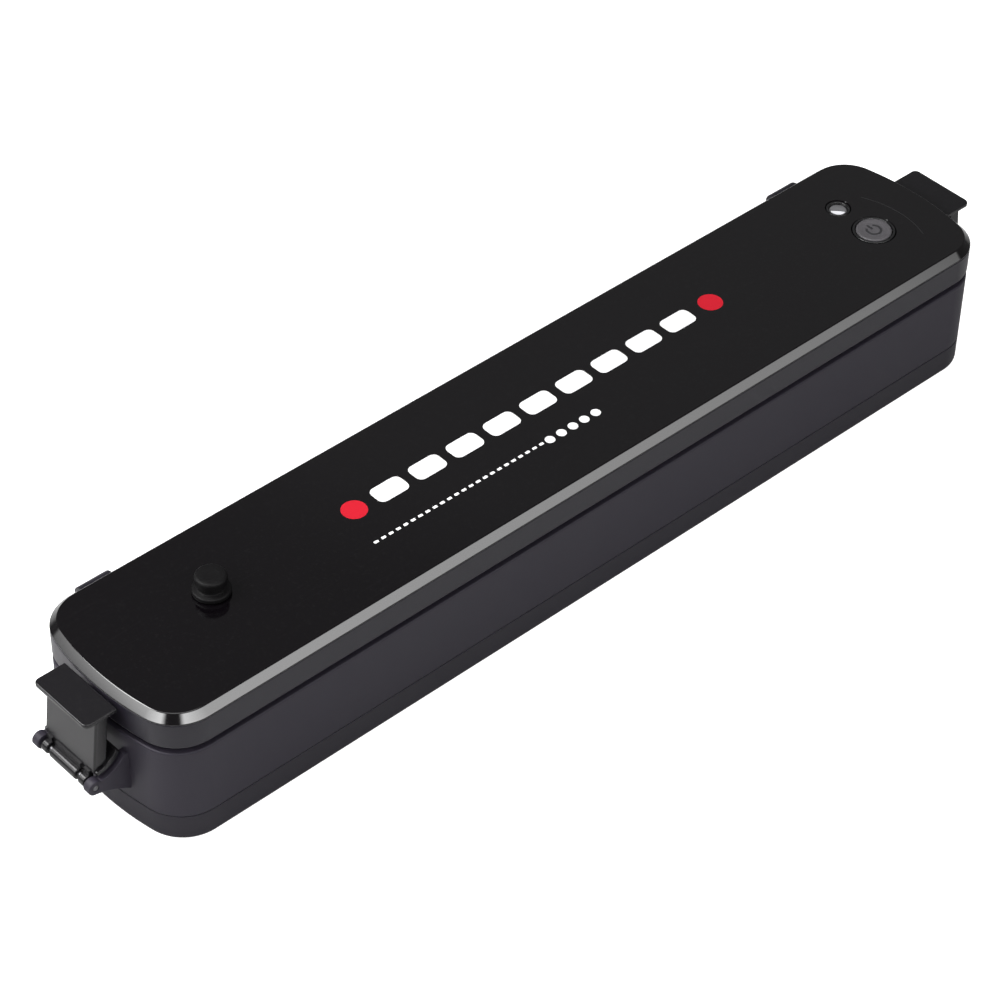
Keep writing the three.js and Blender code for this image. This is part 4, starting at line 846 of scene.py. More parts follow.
def make_finishes(colours):
    GROUPS.update(grain=grain_group(), wear=wear_group(), dust=dust_group(), scuff=scuff_group())
    tints = {name: tuple(getattr(colours, name)) for name in setting_names(colours)}
    FINISHES.update(
        housing_plastic=moulded("satin_housing", tints["housing"], 0.5, 1350.0, 0.3, specular=0.22),
        base_plastic=moulded("matte_base", tints["base"], 0.52, 1200.0, 0.35, specular=0.22),
        lid_plastic=moulded("semi_gloss_lid", tints["lid"], 0.34, 1700.0, 0.14, specular=0.25, spread=0.08),
        gloss_panel=polished("piano_black", tints["panel"], 0.09),
        latch_plastic=moulded(
            "satin_latch", tints["latch"], 0.22, 1500.0, 0.1, specular=0.3, wear=0.4, spread=0.06
        ),
        button_plastic=moulded("grey_button", tints["button"], 0.42, 1800.0, 0.2, wear=0.2),
        # This milky plastic also colours the pale crescent on the window's lens, which is a painted
        # highlight.
        window_plastic=moulded(
            "milky_window", (0.62, 0.62, 0.65), 0.22, 900.0, 0.05, specular=0.5, wear=0.1
        ),
        smoked_window=moulded(
            "smoked_window", (0.11, 0.11, 0.115), 0.15, 900.0, 0.05, specular=0.5, wear=0.1
        ),
        dark_plastic=moulded("dark_moulding", (0.014, 0.014, 0.015), 0.42, 1300.0, 0.3),
        black_rubber=moulded(
            "soft_rubber", tints["rubber"], 0.55, 1100.0, 0.35, specular=0.12, wear=0.2, dust=0.01
        ),
        gasket_foam=cellular("gasket_foam", (0.026, 0.026, 0.028), 0.85, 1700.0, 0.7),
        red_silicone=moulded("red_silicone", (0.28, 0.02, 0.014), 0.55, 900.0, 0.3, wear=0.1),
        clear_silicone=moulded("pale_silicone", (0.68, 0.68, 0.65), 0.4, 700.0, 0.2, wear=0.1),
        steel=drawn_metal("bright_steel", (0.5, 0.5, 0.51), 0.27),
        dark_steel=drawn_metal("dark_steel", (0.12, 0.12, 0.125), 0.38),
        heating_metal=drawn_metal("heating_strip_metal", (0.27, 0.26, 0.25), 0.38),
        tape_cloth=banded(
            "glass_cloth_tape", (0.27, 0.16, 0.075), (0.2, 0.11, 0.05), 0.42, 620.0, both_ways=True
        ),
        heat_block=moulded("pressed_fibre", (0.07, 0.038, 0.02), 0.65, 800.0, 0.5, wear=0.3),
        circuit_board=moulded("solder_mask", (0.012, 0.1, 0.033), 0.35, 260.0, 0.15, specular=0.5),
        winding=banded("enamelled_wire", (0.39, 0.13, 0.03), (0.2, 0.06, 0.015), 0.3, 900.0, metallic=1.0),
        wire_jacket=moulded("wire_jacket", (0.36, 0.018, 0.022), 0.45, 900.0, 0.15, wear=0.1),
        ink_light=ink("light_ink", tints["print_light"], 0.45, spread=0.06),
        ink_accent=ink("accent_ink", tints["print_accent"], 0.45, spread=0.06),
        ink_faint=ink("faint_ink", (0.012, 0.0115, 0.0125), 0.4),
        ink_dark=ink("dark_ink", (0.02, 0.02, 0.022), 0.5),
        rim_plastic=moulded("dark_rim", (0.006, 0.006, 0.0065), 0.16, 1700.0, 0.05, specular=0.5, wear=0.3),
    )


# ------------------------------------------------------------------ operators: housing

# Thicknesses and radii that neighbouring pieces share, in millimetres
BOSS_RADIUS = 3.4
BRACKET_RADIUS = 2.6
BRACKET_EDGE = 0.25
ARM_WIDTH = 3
GASKET_WIDTH = 4.5
TROUGH_WALL = 1.5
INTO_WALL = 1.1
KNUCKLE_HALF = 6.0
PLATE = 1.9
PLATE_FOOT = 3.2
PAST = 1  # how far a cutter or a joined piece reaches past a face
INK_GAP = 0.005  # keeps printed ink from lying in the same plane as its panel


class SEALER_OT_finishes(bpy.types.Operator):
    """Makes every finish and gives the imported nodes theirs"""

    bl_idname = "sealer.finishes"
    bl_label = "Finishes"

    def execute(self, context):
        make_finishes(context.scene.sealer_colours)
        for part in frame["record"]["subparts"]:
            materials = frame["nodes"][part["node"]].data.materials
            materials.clear()
            materials.append(FINISHES[part["material_slot"]])
        return {"FINISHED"}


class SEALER_OT_base(bpy.types.Operator):
    """Builds the base pan with its screw wells, foot recesses and cooling slots"""

    bl_idname = "sealer.base"
    bl_label = "Base"

    def execute(self, context):
        sizes = context.scene.sealer_sizes
        wall, radius = bench_mm(sizes.wall), bench_mm(sizes.base_round)
        lip_top, lip_wall, boss_wall = high("base_cover").z, 1.2, 1.4
        well, recess = 3.1, 1.2
        lip_outer = wall + CLEAR
        lip_inner = lip_outer + lip_wall
        floor_z = BASE_Z + wall
        profile = [
            (radius + 1, BASE_Z),
            (0, BASE_Z, radius),
            (0, SEAM_LOW, 0.4),
            (lip_outer, SEAM_LOW, 0.1),
            (lip_outer, lip_top, 0.2),
            (lip_inner, lip_top, 0.2),
            (lip_inner, floor_z, radius),
            (lip_inner + radius + 1, floor_z),
        ]
        pan = housing_form(sizes, "pan", rounded(profile, steps=6))
        head_radius = half_size("base_screw_rear_right") + CLEAR
        boss_top = SEAM_LOW - 1
        pan = join(pan, *corner_rods(BASE_SCREW, head_radius + boss_wall, floor_z - PAST, boss_top))
        tools = corner_rods(BASE_SCREW, head_radius, BASE_Z - PAST, BASE_Z + well)
        tools += corner_rods(FOOT, half_size("foot_rear_right") + CLEAR, BASE_Z - PAST, BASE_Z + recess)
        slot_length, slot_width, slot_pitch = 14.0, 1.8, 6.0
        for start in (-104.0, 36.0):
            vent = prism("vent", slot_outline(slot_length, slot_width, 0, 8), BASE_Z - PAST, floor_z + PAST)
            row = {"Count": 9, "Start": (start, 0, 0), "Step": (slot_pitch, 0, 0)}
            tools.append(grown(turned_round(vent, 90), ROW, "base_plastic", **row))
        hand_over(cut(pan, *tools), "base_pan", "housing", "base_plastic", "base_cover")
        return {"FINISHED"}


def screw_form(node):
    """A self-tapping screw, head down, about x = y = 0."""
    bottom, top = span(node, 2)
    head_radius = half_size(node)
    shank, head, pitch, thread = 1.1, 1.6, 1.0, 0.15
    slot_half, slot_width, slot_depth = 1.5, 0.33, 0.9
    neck = bottom + head
    profile = [(0, bottom), (head_radius * 0.8, bottom, 0.5), (head_radius, bottom + 0.6, 0.3)]
    profile = rounded(profile, steps=3) + [(head_radius, neck), (shank, neck)]
    for i in range(int((top - neck - 2.2) / pitch)):
        z = neck + 0.3 + i * pitch
        profile += [(shank, z), (shank + thread, z + 0.3), (shank, z + 0.6)]
    profile += [(shank, top - 1.2), (0.3, top - 0.1), (0, top)]
    bars = []
    for degrees in (0, 90):
        depth = (bottom - 0.5, bottom + slot_depth)
        bar = block("bar", (-slot_half, slot_half), (-slot_width, slot_width), depth)
        bars.append(turned_round(bar, degrees))
    return cut(turned("screw", profile, 0, 0, sides=28), *bars)


class SEALER_OT_fastenings(bpy.types.Operator):
    """Puts the four feet and the screws of the base and lid in their corners"""

    bl_idname = "sealer.fastenings"
    bl_label = "Feet and screws"

    def execute(self, context):
        radius, top = half_size("foot_rear_right"), high("foot_rear_right").z
        profile = [
            (0, 0.45),
            (radius * 0.3, 0.45),
            (radius * 0.36, 0.0, 0.1),
            (radius * 0.52, 0.0, 0.1),
            (radius * 0.58, 0.35),
            (radius * 0.66, 0.0, 0.1),
            (radius - 0.2, 0.0, 0.5),
            (radius, 0.7, 0.2),
            (radius, top),
            (0, top),
        ]
        foot = turned("foot", rounded(profile, steps=3), 0, 0)
        base_screw, lid_screw = screw_form("base_screw_rear_right"), screw_form("lid_screw_rear_right")
        corners = ("front_left", "front_right", "rear_left", "rear_right")
        for name, shape, place, slot, body, node in (
            ("feet", foot, FOOT, "black_rubber", "housing", "foot"),
            ("base_screws", base_screw, BASE_SCREW, "steel", "housing", "base_screw"),
            ("lid_screws", lid_screw, LID_SCREW, "steel", "lid", "lid_screw"),
        ):
            grown(shape, CORNERS, slot, Spacing_X=2 * abs(place.x), Spacing_Y=2 * abs(place.y))
            hand_over(shape, name, body, slot, *[f"{node}_{corner}" for corner in corners])
        return {"FINISHED"}


def hinge_ear(x0, x1):
    """One of the housing's ears beside a hinge knuckle."""
    near, far, root = HINGE.y - BRACKET_RADIUS, HINGE.y + BRACKET_RADIUS, SIDE_Y - INTO_WALL
    heel = (SIDE_Y + 2, DECK_Z - 11.5)
    shape = [(root, DECK_Z - 13), heel, *bend(heel, (far, DECK_Z - 9), (far, DECK_Z - 5), 8)[1:]]
    shape += arc(HINGE.y, HINGE.z, BRACKET_RADIUS, 0, math.pi, 16)
    shape += [(near, DECK_Z - CLEAR), (root, DECK_Z - CLEAR)]
    ear = softened(prism("ear", shape, x0, x1, "X"), BRACKET_EDGE, 2)
    return cut(ear, rod("hole", 1.3, x0 - PAST, x1 + PAST, HINGE.y, HINGE.z, "X"))


def latch_edge(dx, dz):
    """The curved line between a latch's floor and its bracket, drawn in X and Z."""
    return (
        (END_X + 1 + dx, AXLE.z + 8 + dz),
        (END_X + 4 + dx, AXLE.z + PLATE_FOOT + dz),
        (AXLE.x - 1.6 + dx, AXLE.z + 2.9 + dz),
    )


def latch_arm(y0, y1):
    """An arm of the housing that carries one end of a latch's axle."""
    inner, middle, outer = latch_edge(-0.6, -1.2)
    root, under = END_X - 1.6, (AXLE.x, AXLE.z - BRACKET_RADIUS)
    shape = [(root, inner[1] - 0.2), *bend(inner, middle, outer), (AXLE.x, AXLE.z), under]
    shape += bend(under, (END_X + 5, AXLE.z - 4), (root, AXLE.z - 9))[1:]
    arm = softened(prism("arm", shape, y0, y1, "Y"), BRACKET_EDGE, 2)
    eye = rod("eye", BRACKET_RADIUS, y0, y1, AXLE.x, AXLE.z, "Y", 0.3)
    return cut(join(arm, eye), rod("hole", 1.1, y0 - PAST, y1 + PAST, AXLE.x, AXLE.z, "Y"))


class SEALER_OT_shell(bpy.types.Operator):
    """Builds the housing's wall with hinge ears and latch brackets"""

    bl_idname = "sealer.shell"
    bl_label = "Housing wall"

    def execute(self, context):
        sizes = context.scene.sealer_sizes
        wall, edge = bench_mm(sizes.wall), bench_mm(sizes.edge_round)
        ledge, ledge_z, ledge_lift = 1.5, high("chamber_tray").z, 0.15
        profile = [
            (0, SEAM_HIGH, 0.4),
            (0, DECK_Z, edge + 0.2),
            (wall, DECK_Z, 0.3),
            (wall, ledge_z + ledge_lift),
            (wall + ledge, ledge_z + ledge_lift),
            (wall + ledge, ledge_z),
            (wall, ledge_z - ledge),
            (wall, SEAM_HIGH),
        ]
        shell = housing_form(sizes, "shell", rounded(profile, closed=True, steps=5), ring_shaped=True)
        (x0, x1), (z0, z1) = span("inlet_socket", 0), span("inlet_socket", 2)
        window = (x0 + 2.7, x1 - 2.7), (SIDE_Y - wall - PAST, SIDE_Y + PAST), (z0 + 1.7, z1 - 1.7)
        shell = cut(shell, block("inlet", *window))
        inner, outer = KNUCKLE_HALF + CLEAR, half_size("hinge_pin_right")
        parts = []
        for x in (-HINGE.x, HINGE.x):
            parts += [hinge_ear(x - outer, x - inner), hinge_ear(x + inner, x + outer)]
        outer = high("latch_axle_right").y
        for y0, y1 in ((-outer, ARM_WIDTH - outer), (outer - ARM_WIDTH, outer)):
            parts += [latch_arm(y0, y1), turned_round(latch_arm(y0, y1))]
        hand_over(join(shell, *parts), "housing_wall", "housing", "housing_plastic", "body_shell")
        return {"FINISHED"}


class SEALER_OT_deck(bpy.types.Operator):
    """Builds the deck, the chamber's tray and the suction nozzle"""

    bl_idname = "sealer.deck"
    bl_label = "Deck and tray"

    def execute(self, context):
        sizes = context.scene.sealer_sizes
        inset = SIDE_Y - high("deck_plate").y
        chamber_y = GASKET.y
        tray_wall, flange, flange_thickness = 1.8, 2.5, 1.2
        tray_x, tray_y = high("chamber_tray").x, high("chamber_tray").y - chamber_y
        chamber = 2 * (tray_x - flange - tray_wall), 2 * (tray_y - flange - tray_wall), chamber_y
        profile = [(inset, DECK_UNDER), (inset, DECK_Z, 0.4), (inset + 1.5, DECK_Z)]
        deck = housing_form(sizes, "deck", rounded(profile, steps=4))
        half_x, half_y = high("seal_bar_base").x + CLEAR, SEAL.y - low("seal_tape").y + CLEAR
        floor_z = low("seal_bar_base").z - CLEAR

        def seal_block(wall, top):
            x, y = half_x + wall, half_y + wall
            return block("channel", (-x, x), (SEAL.y - y, SEAL.y + y), (floor_z - wall, top))

        bosses = corner_rods(BASE_SCREW, BOSS_RADIUS, SEAM_HIGH, DECK_UNDER + PAST)
        deck = join(deck, seal_block(TROUGH_WALL, DECK_UNDER + PAST), *bosses)
        gasket = high("lower_gasket")
        groove = 2 * gasket.x + CLEAR, 2 * (gasket.y - chamber_y) + CLEAR, chamber_y
        groove_w, groove_z = GASKET_WIDTH + CLEAR, low("lower_gasket").z - 0.1
        loop = [(0, groove_z), (0, DECK_Z + PAST), (-groove_w, DECK_Z + PAST), (-groove_w, groove_z)]
        mouth = [(0, DECK_UNDER - PAST), (0, DECK_Z - 0.3), (0.3, DECK_Z), (0.3, DECK_Z + PAST)]
        tools = [
            slot_form("mouth", *chamber, mouth),
            slot_form("groove", *groove, loop, ring_shaped=True),
            seal_block(0, DECK_Z + PAST),
            *corner_rods(BASE_SCREW, 1.3, SEAM_HIGH - PAST, SEAM_HIGH + 12),
        ]
        hand_over(cut(deck, *tools), "deck", "housing", "housing_plastic", "deck_plate")

        bottom, top = span("chamber_tray", 2)
        profile = [
            (tray_wall - 2, bottom),
            (tray_wall, bottom, 1.4),
            (tray_wall, top - flange_thickness, 0.3),
            (tray_wall + flange, top - flange_thickness, 0.2),
            (tray_wall + flange, top, 0.2),
            (0, top, 0.3),
            (0, bottom + tray_wall, 1.6),
            (-2.5, bottom + tray_wall),
        ]
        tray = slot_form("tray", *chamber, rounded(profile, steps=5))
        tray = cut(tray, rod("hole", 3.0, bottom - PAST, bottom + 3, NOZZLE.x, chamber_y))
        hand_over(tray, "tray", "housing", "housing_plastic", "chamber_tray")

        bottom, top = span("suction_nozzle", 2)
        flange_radius, stem, flange_z = half_size("suction_nozzle"), 2.5, top - 0.9
        profile = [(0, bottom), (1.8, bottom, 0.2), (stem, bottom + 2, 0.2), (stem, flange_z)]
        profile += [(flange_radius, flange_z, 0.15), (flange_radius, top, 0.3), (0, top)]
        nozzle = turned("nozzle", rounded(profile, steps=3), NOZZLE.x, NOZZLE.y)
        hole, pitch = rod("port", 0.6, bottom - PAST, top + PAST, 0, 0, sides=20), 1.3
        row = {"Count": 3, "Start": (NOZZLE.x - pitch, NOZZLE.y, 0), "Step": (pitch, 0, 0)}
        ports = grown(hole, ROW, "dark_plastic", **row)
        hand_over(cut(nozzle, ports), "nozzle", "housing", "dark_plastic", "suction_nozzle")
        return {"FINISHED"}


class SEALER_OT_seals(bpy.types.Operator):
    """Builds both foam gaskets and the silicone strip that presses on the heating bar"""

    bl_idname = "sealer.seals"
    bl_label = "Gaskets and strip"

    def execute(self, context):
        for node, name, body in (
            ("lower_gasket", "gasket_lower", "housing"),
            ("upper_gasket", "gasket_upper", "lid"),
        ):
            bottom, top = span(node, 2)
            # The tree replaces this triangle, which only carries its modifier.
            loop = bench(name, [(0, 0, 0), (1, 0, 0), (0, 1, 0)], [(0, 1, 2)])
            grown(
                loop,
                LOOP,
                "gasket_foam",
                Loop_Length=2 * high(node).x - GASKET_WIDTH,
                Loop_Width=high(node).y - low(node).y - GASKET_WIDTH,
                Section_Width=GASKET_WIDTH,
                Section_Height=top - bottom,
                Section_Rounding=bench_mm(context.scene.sealer_sizes.gasket_round),
                Place=(0.0, centre(node).y, (bottom + top) / 2),
            )
            hand_over(loop, name, body, "gasket_foam", node)
        bottom, top = span("pressure_strip", 2)
        front, rear = span("pressure_strip", 1)
        ribs, rib_half = 3, 0.9
        shape = [(rear, top, 0.3), (front, top, 0.3), (front, bottom + 0.7, 0.4)]
        for i in range(ribs):
            y = front + (rear - front) * (i + 0.5) / ribs
            shape += [(y - rib_half, bottom, 0.4), (y + rib_half, bottom, 0.4)]
            if i < ribs - 1:
                shape.append((y + 1.5, bottom + 0.6, 0.3))
        shape.append((rear, bottom + 0.7, 0.4))
        strip = prism("strip", rounded(shape, closed=True, steps=3), *span("pressure_strip", 0), "X")
        hand_over(strip, "silicone_strip", "lid", "red_silicone", "pressure_strip")
        return {"FINISHED"}


# ------------------------------------------------------------------ operators: lid


def control_holes(edge, z0, z1):
    """Cutters for the button, the window and the valve, flared at the top by edge."""
    holes = []
    for place, node in ((BUTTON, "button_bezel"), (WINDOW, "indicator_window"), (KNOB, "valve_seat")):
        radius, above = high(node).x - place.x + CLEAR, z1 + PAST
        profile = [(0, z0), (radius, z0), (radius, z1 - edge)]
        profile += [(radius + edge, z1), (radius + edge, above), (0, above)]
        holes.append(turned("hole", profile, place.x, place.y, sides=96))
    return holes


def hinge_knuckle(x):
    """One of the lid's two hinge knuckles, bored for its pin."""
    radius, root = high("lid_frame").y - HINGE.y, SIDE_Y - INTO_WALL
    x0, x1 = x - KNUCKLE_HALF, x + KNUCKLE_HALF
    shape = [(root, LID_Z + 0.4), (HINGE.y, HINGE.z - radius + 0.9)]
    shape += [(HINGE.y, HINGE.z + radius), (root, HINGE.z + radius)]
    barrel = rod("barrel", radius, x0, x1, HINGE.y, HINGE.z, "X", 0.4, sides=64)
    bore = rod("bore", 1.35, x0 - PAST, x1 + PAST, HINGE.y, HINGE.z, "X")
    return cut(join(softened(prism("arm", shape, x0, x1, "X"), 0.3, 2), barrel), bore)


class SEALER_OT_lid(bpy.types.Operator):
    """Builds the lid's band, its inner cover and its glossy panel"""

    bl_idname = "sealer.lid"
    bl_label = "Lid"

    def execute(self, context):
        sizes = context.scene.sealer_sizes
        wall, edge, chamfer = bench_mm(sizes.wall), bench_mm(sizes.edge_round), bench_mm(sizes.chamfer)
        ceiling = SHOULDER_Z - wall
        profile = [
            (wall + 2, ceiling),
            (wall, ceiling, 0.6),
            (wall, LID_Z, 0.3),
            (0, LID_Z, edge + 0.4),
            (0, SHOULDER_Z, edge),
            (wall, SHOULDER_Z),
        ]
        band = housing_form(sizes, "band", rounded(profile, steps=5))
        cover_low, cover_top = span("lid_inner_cover", 2)
        bosses = corner_rods(LID_SCREW, BOSS_RADIUS, cover_top + CLEAR, ceiling + PAST)
        band = join(band, *bosses, hinge_knuckle(HINGE.x), hinge_knuckle(-HINGE.x))
        tools = control_holes(0.0, ceiling - PAST, SHOULDER_Z + PAST)
        tools += corner_rods(LID_SCREW, 1.35, cover_top - PAST, ceiling)
        for degrees in (0, 180):
            catch = block("catch", (END_X - 1.1, END_X + PAST), (-6, 6), (LID_Z + 2.4, LID_Z + 6.4))
            tools.append(turned_round(catch, degrees))
        hand_over(cut(band, *tools), "lid_band", "lid", "lid_plastic", "lid_frame")

        bottom = low("lid_top_panel").z
        profile = [(4, bottom), (0, bottom, 0.1), (0, bottom + 0.3, 0.3)]
        profile += [(chamfer, TOP_Z, 0.7), (chamfer + 6, TOP_Z)]
        panel = housing_form(sizes, "panel", rounded(profile, steps=6))
        panel = cut(panel, *control_holes(0.15, bottom - PAST, TOP_Z))
        hand_over(panel, "lid_panel", "lid", "gloss_panel", "lid_top_panel", sharp=40)

        bottom, top = cover_low, cover_top
        inset = SIDE_Y - high("lid_inner_cover").y
        profile = [(inset + 2, bottom), (inset, bottom, 0.3), (inset, top, 0.2), (inset + 2, top)]
        cover = housing_form(sizes, "cover", rounded(profile, steps=3))
        below, above, groove_z, groove_w = bottom - PAST, top + PAST, bottom + 0.9, GASKET_WIDTH + CLEAR
        pocket_x, pocket_half = high("pressure_strip").x + CLEAR, 4.5 + CLEAR
        gasket = high("upper_gasket")
        groove = 2 * gasket.x + CLEAR, 2 * (gasket.y - GASKET.y) + CLEAR, GASKET.y
        loop = [(0, below), (0, groove_z), (-groove_w, groove_z), (-groove_w, below)]
        pocket = (-pocket_x, pocket_x), (SEAL.y - pocket_half, SEAL.y + pocket_half), (below, groove_z)
        tools = [
            slot_form("groove", *groove, loop, ring_shaped=True),
            block("pocket", *pocket),
            rod("valve", high("valve_seat").x - KNOB.x + CLEAR, below, above, KNOB.x, KNOB.y),
            *corner_rods(LID_SCREW, 1.55, below, above),
        ]
        hand_over(cut(cover, *tools), "lid_liner", "lid", "lid_plastic", "lid_inner_cover")
        return {"FINISHED"}


class SEALER_OT_graphic(bpy.types.Operator):
    """Prints a plain pattern of dashes, ticks and discs on the lid's panel"""

    bl_idname = "sealer.graphic"
    bl_label = "Printed pattern"

    def execute(self, context):
        graphic = context.scene.sealer_graphic
        pitch, tick_pitch = bench_mm(graphic.dash_pitch), bench_mm(graphic.tick_pitch)
        half_x, half_y = bench_mm(graphic.dash_length) / 2, bench_mm(graphic.dash_height) / 2
        base = TOP_Z + INK_GAP
        start = -pitch * (graphic.dashes - 1) / 2 + 2.0
        sweep = math.radians(-24), math.radians(27), 40
        line = arc(132, -4, 33.2, *sweep) + arc(132, -4, 32.8, *sweep)[::-1]
        dash = rectangle(-half_x, half_x, -half_y, half_y, 2.2)
        tick = rectangle(-0.85, 0.85, -0.5, 0.5, 0.3)
        for name, shape, finish, count, first, step in (
            ("dashes", dash, "ink_light", graphic.dashes, (start, 4.2, 0), pitch),
            ("ticks", tick, "ink_light", graphic.ticks, (-80.0, -11.4, 0), tick_pitch),
            ("dots", circle(1.7, 32), "ink_light", 5, (-7.5, -11.6, 0), 5.0),
            ("arc", line, "ink_faint", 1, (0, 0, 0), 0),
            ("discs", circle(4.3, 64), "ink_accent", 2, (-75.6, 4.2, 0), 156.0),
        ):
            mark = prism(name, shape, base, base + bench_mm(graphic.ink))
            grown(mark, ROW, finish, Count=count, Start=first, Step=(step, 0, 0))
            hand_over(mark, f"print_{name}", "lid", "gloss_panel", finish=FINISHES[finish])
        return {"FINISHED"}


class SEALER_OT_controls(bpy.types.Operator):
    """Builds the start button, its ring and mark, the indicator window with a painted highlight on its lens,
    and the release valve's knob
    """

    bl_idname = "sealer.controls"
    bl_label = "Controls"

    def execute(self, context):
        radius = half_size("button_cap")
        bottom, top = span("button_cap", 2)
        stem, skirt = 2.2, TOP_Z - 2.4
        profile = [(0, bottom), (stem, bottom, 0.2), (stem, skirt, 0.2), (radius, skirt, 0.2)]
        profile += [(radius, top, 0.5), (radius * 0.84, top, 0.6), (radius * 0.6, top - 0.25, 2.0)]
        profile.append((0, top - 0.34))
        cap = turned("cap", rounded(profile, steps=5), BUTTON.x, BUTTON.y, sides=96)
        hand_over(cap, "start_button_cap", "start_button", "button_plastic", "button_cap")
        mark_z = top - 0.29
        mark_top = mark_z + 0.07
        sweep = math.radians(125), math.radians(415), 40
        loop = arc(0, 0, 2.9, *sweep) + arc(0, 0, 2.1, *sweep)[::-1]
        bar = prism("bar", rectangle(-0.42, 0.42, 0.6, 3.3, 0.2), mark_z, mark_top)
        mark = moved(join(prism("mark", loop, mark_z, mark_top), bar), BUTTON)
        hand_over(mark, "button_mark", "start_button", "button_plastic", finish=FINISHES["ink_dark"])

        inner, outer, well = radius + CLEAR, high("button_bezel").x - BUTTON.x, 2.5
        bottom, top = span("button_bezel", 2)
        shelf = skirt - 0.95
        profile = [(well, bottom), (outer, bottom), (outer, top, 0.25), (inner, top, 0.25), (inner, shelf)]
        profile = rounded([*profile, (well, shelf)], closed=True, steps=4)
        ring = turned("bezel", profile, BUTTON.x, BUTTON.y, sides=96, ring_shaped=True)
        rim_finish = FINISHES["rim_plastic"]
        hand_over(ring, "button_ring", "lid", "latch_plastic", "button_bezel", finish=rim_finish)

        radius = half_size("indicator_window")
        bottom, top = span("indicator_window", 2)
        rim, ledge = radius - 0.7, top - 0.9
        profile = [(0, bottom), (radius, bottom), (radius, top, 0.25), (rim, top, 0.25)]
        profile += [(rim - 0.3, ledge), (0, ledge)]
        frame_ring = turned("window", rounded(profile, steps=4), WINDOW.x, WINDOW.y, sides=96)
        hand_over(frame_ring, "window_frame", "lid", "window_plastic", "indicator_window", finish=rim_finish)
        lens, foot = rim - 0.45, top - 1.0
        profile = [(0, foot), (lens, foot), (lens, top - 0.75, 0.15)]
        profile += [(lens * 0.5, top - 0.5, 2.0), (0, top - 0.45)]
        glass = turned("lens", rounded(profile, steps=5), WINDOW.x, WINDOW.y, sides=72)
        hand_over(glass, "window_lens", "lid", "window_plastic", finish=FINISHES["smoked_window"])
        # The pale crescent below stands on the smoked lens on the side facing the camera: it is a painted
        # highlight of the lens, not a real part.
        toward, spread, depth = math.radians(222), 1.15, 0.75
        outer_arc = arc(0, 0, lens - 0.25, toward - spread, toward + spread, 40)
        hollow = (depth * math.cos(toward), depth * math.sin(toward))
        crescent = outer_arc + bend(outer_arc[-1], hollow, outer_arc[0], 24)[1:-1]
        guide = softened(prism("guide", crescent, top - 0.85, top - 0.4), 0.12, 2)
        hand_over(moved(guide, WINDOW), "light_guide", "lid", "window_plastic")

        flange = half_size("valve_knob")
        bottom, top = span("valve_knob", 2)
        cap_radius, waist, stem = flange - 1.0, flange - 2.25, 1.9
        base = TOP_Z + CLEAR
        profile = [
            (0, bottom),
            (stem, bottom, 0.2),
            (stem, base, 0.1),
            (flange, base, 0.3),
            (flange, base + 1.5, 0.6),
            (waist + 0.4, base + 1.9, 0.4),
            (waist, top - 3.1, 0.5),
            (cap_radius, top - 2.8, 0.4),
            (cap_radius, top, 1.1),
            (cap_radius * 0.5, top, 1.0),
            (0, top - 0.12),
        ]
        knob = turned("knob", rounded(profile, steps=5), KNOB.x, KNOB.y, sides=80)
        hand_over(knob, "valve_knob_cap", "release_valve", "black_rubber", "valve_knob")
        return {"FINISHED"}


# ------------------------------------------------------------------ operators: hinges, latches and inlet


class SEALER_OT_hinges(bpy.types.Operator):
    """Builds the hinge pins and the latches' axles with domed ends"""

    bl_idname = "sealer.hinges"
    bl_label = "Pins and axles"

    def execute(self, context):
        for side in ("left", "right"):
            node = f"hinge_pin_{side}"
            pin = rod("pin", half_size(node, 2), *span(node, 0), HINGE.y, HINGE.z, "X", 0.3)
            hand_over(pin, f"pin_{side}", "housing", "steel", node)
            node = f"latch_axle_{side}"
            axle = rod("axle", half_size(node, 2), *span(node, 1), centre(node).x, AXLE.z, "Y", 0.3)
            hand_over(axle, f"axle_{side}", "housing", "steel", node, finish=FINISHES["dark_steel"])
        return {"FINISHED"}


def latch_plate(sizes):
    """Gives the leaning plate's outer face, in X, at a height."""
    top, foot = high("latch_lever_right").z, AXLE.z + PLATE_FOOT
    reach, lean = bench_mm(sizes.plate_reach), bench_mm(sizes.plate_lean)
    return lambda z: END_X + reach + lean * (top - z) / (top - foot)


def leaning_slab(name, face, depths, y, z, edge):
    """A slab that leans with the plate, between two depths behind its face."""
    shape = [(face(z[0]) - depths[0], z[0]), (face(z[1]) - depths[0], z[1])]
    shape += [(face(z[1]) - depths[1], z[1]), (face(z[0]) - depths[1], z[0])]
    return softened(prism(name, shape, *y, "Y"), edge)


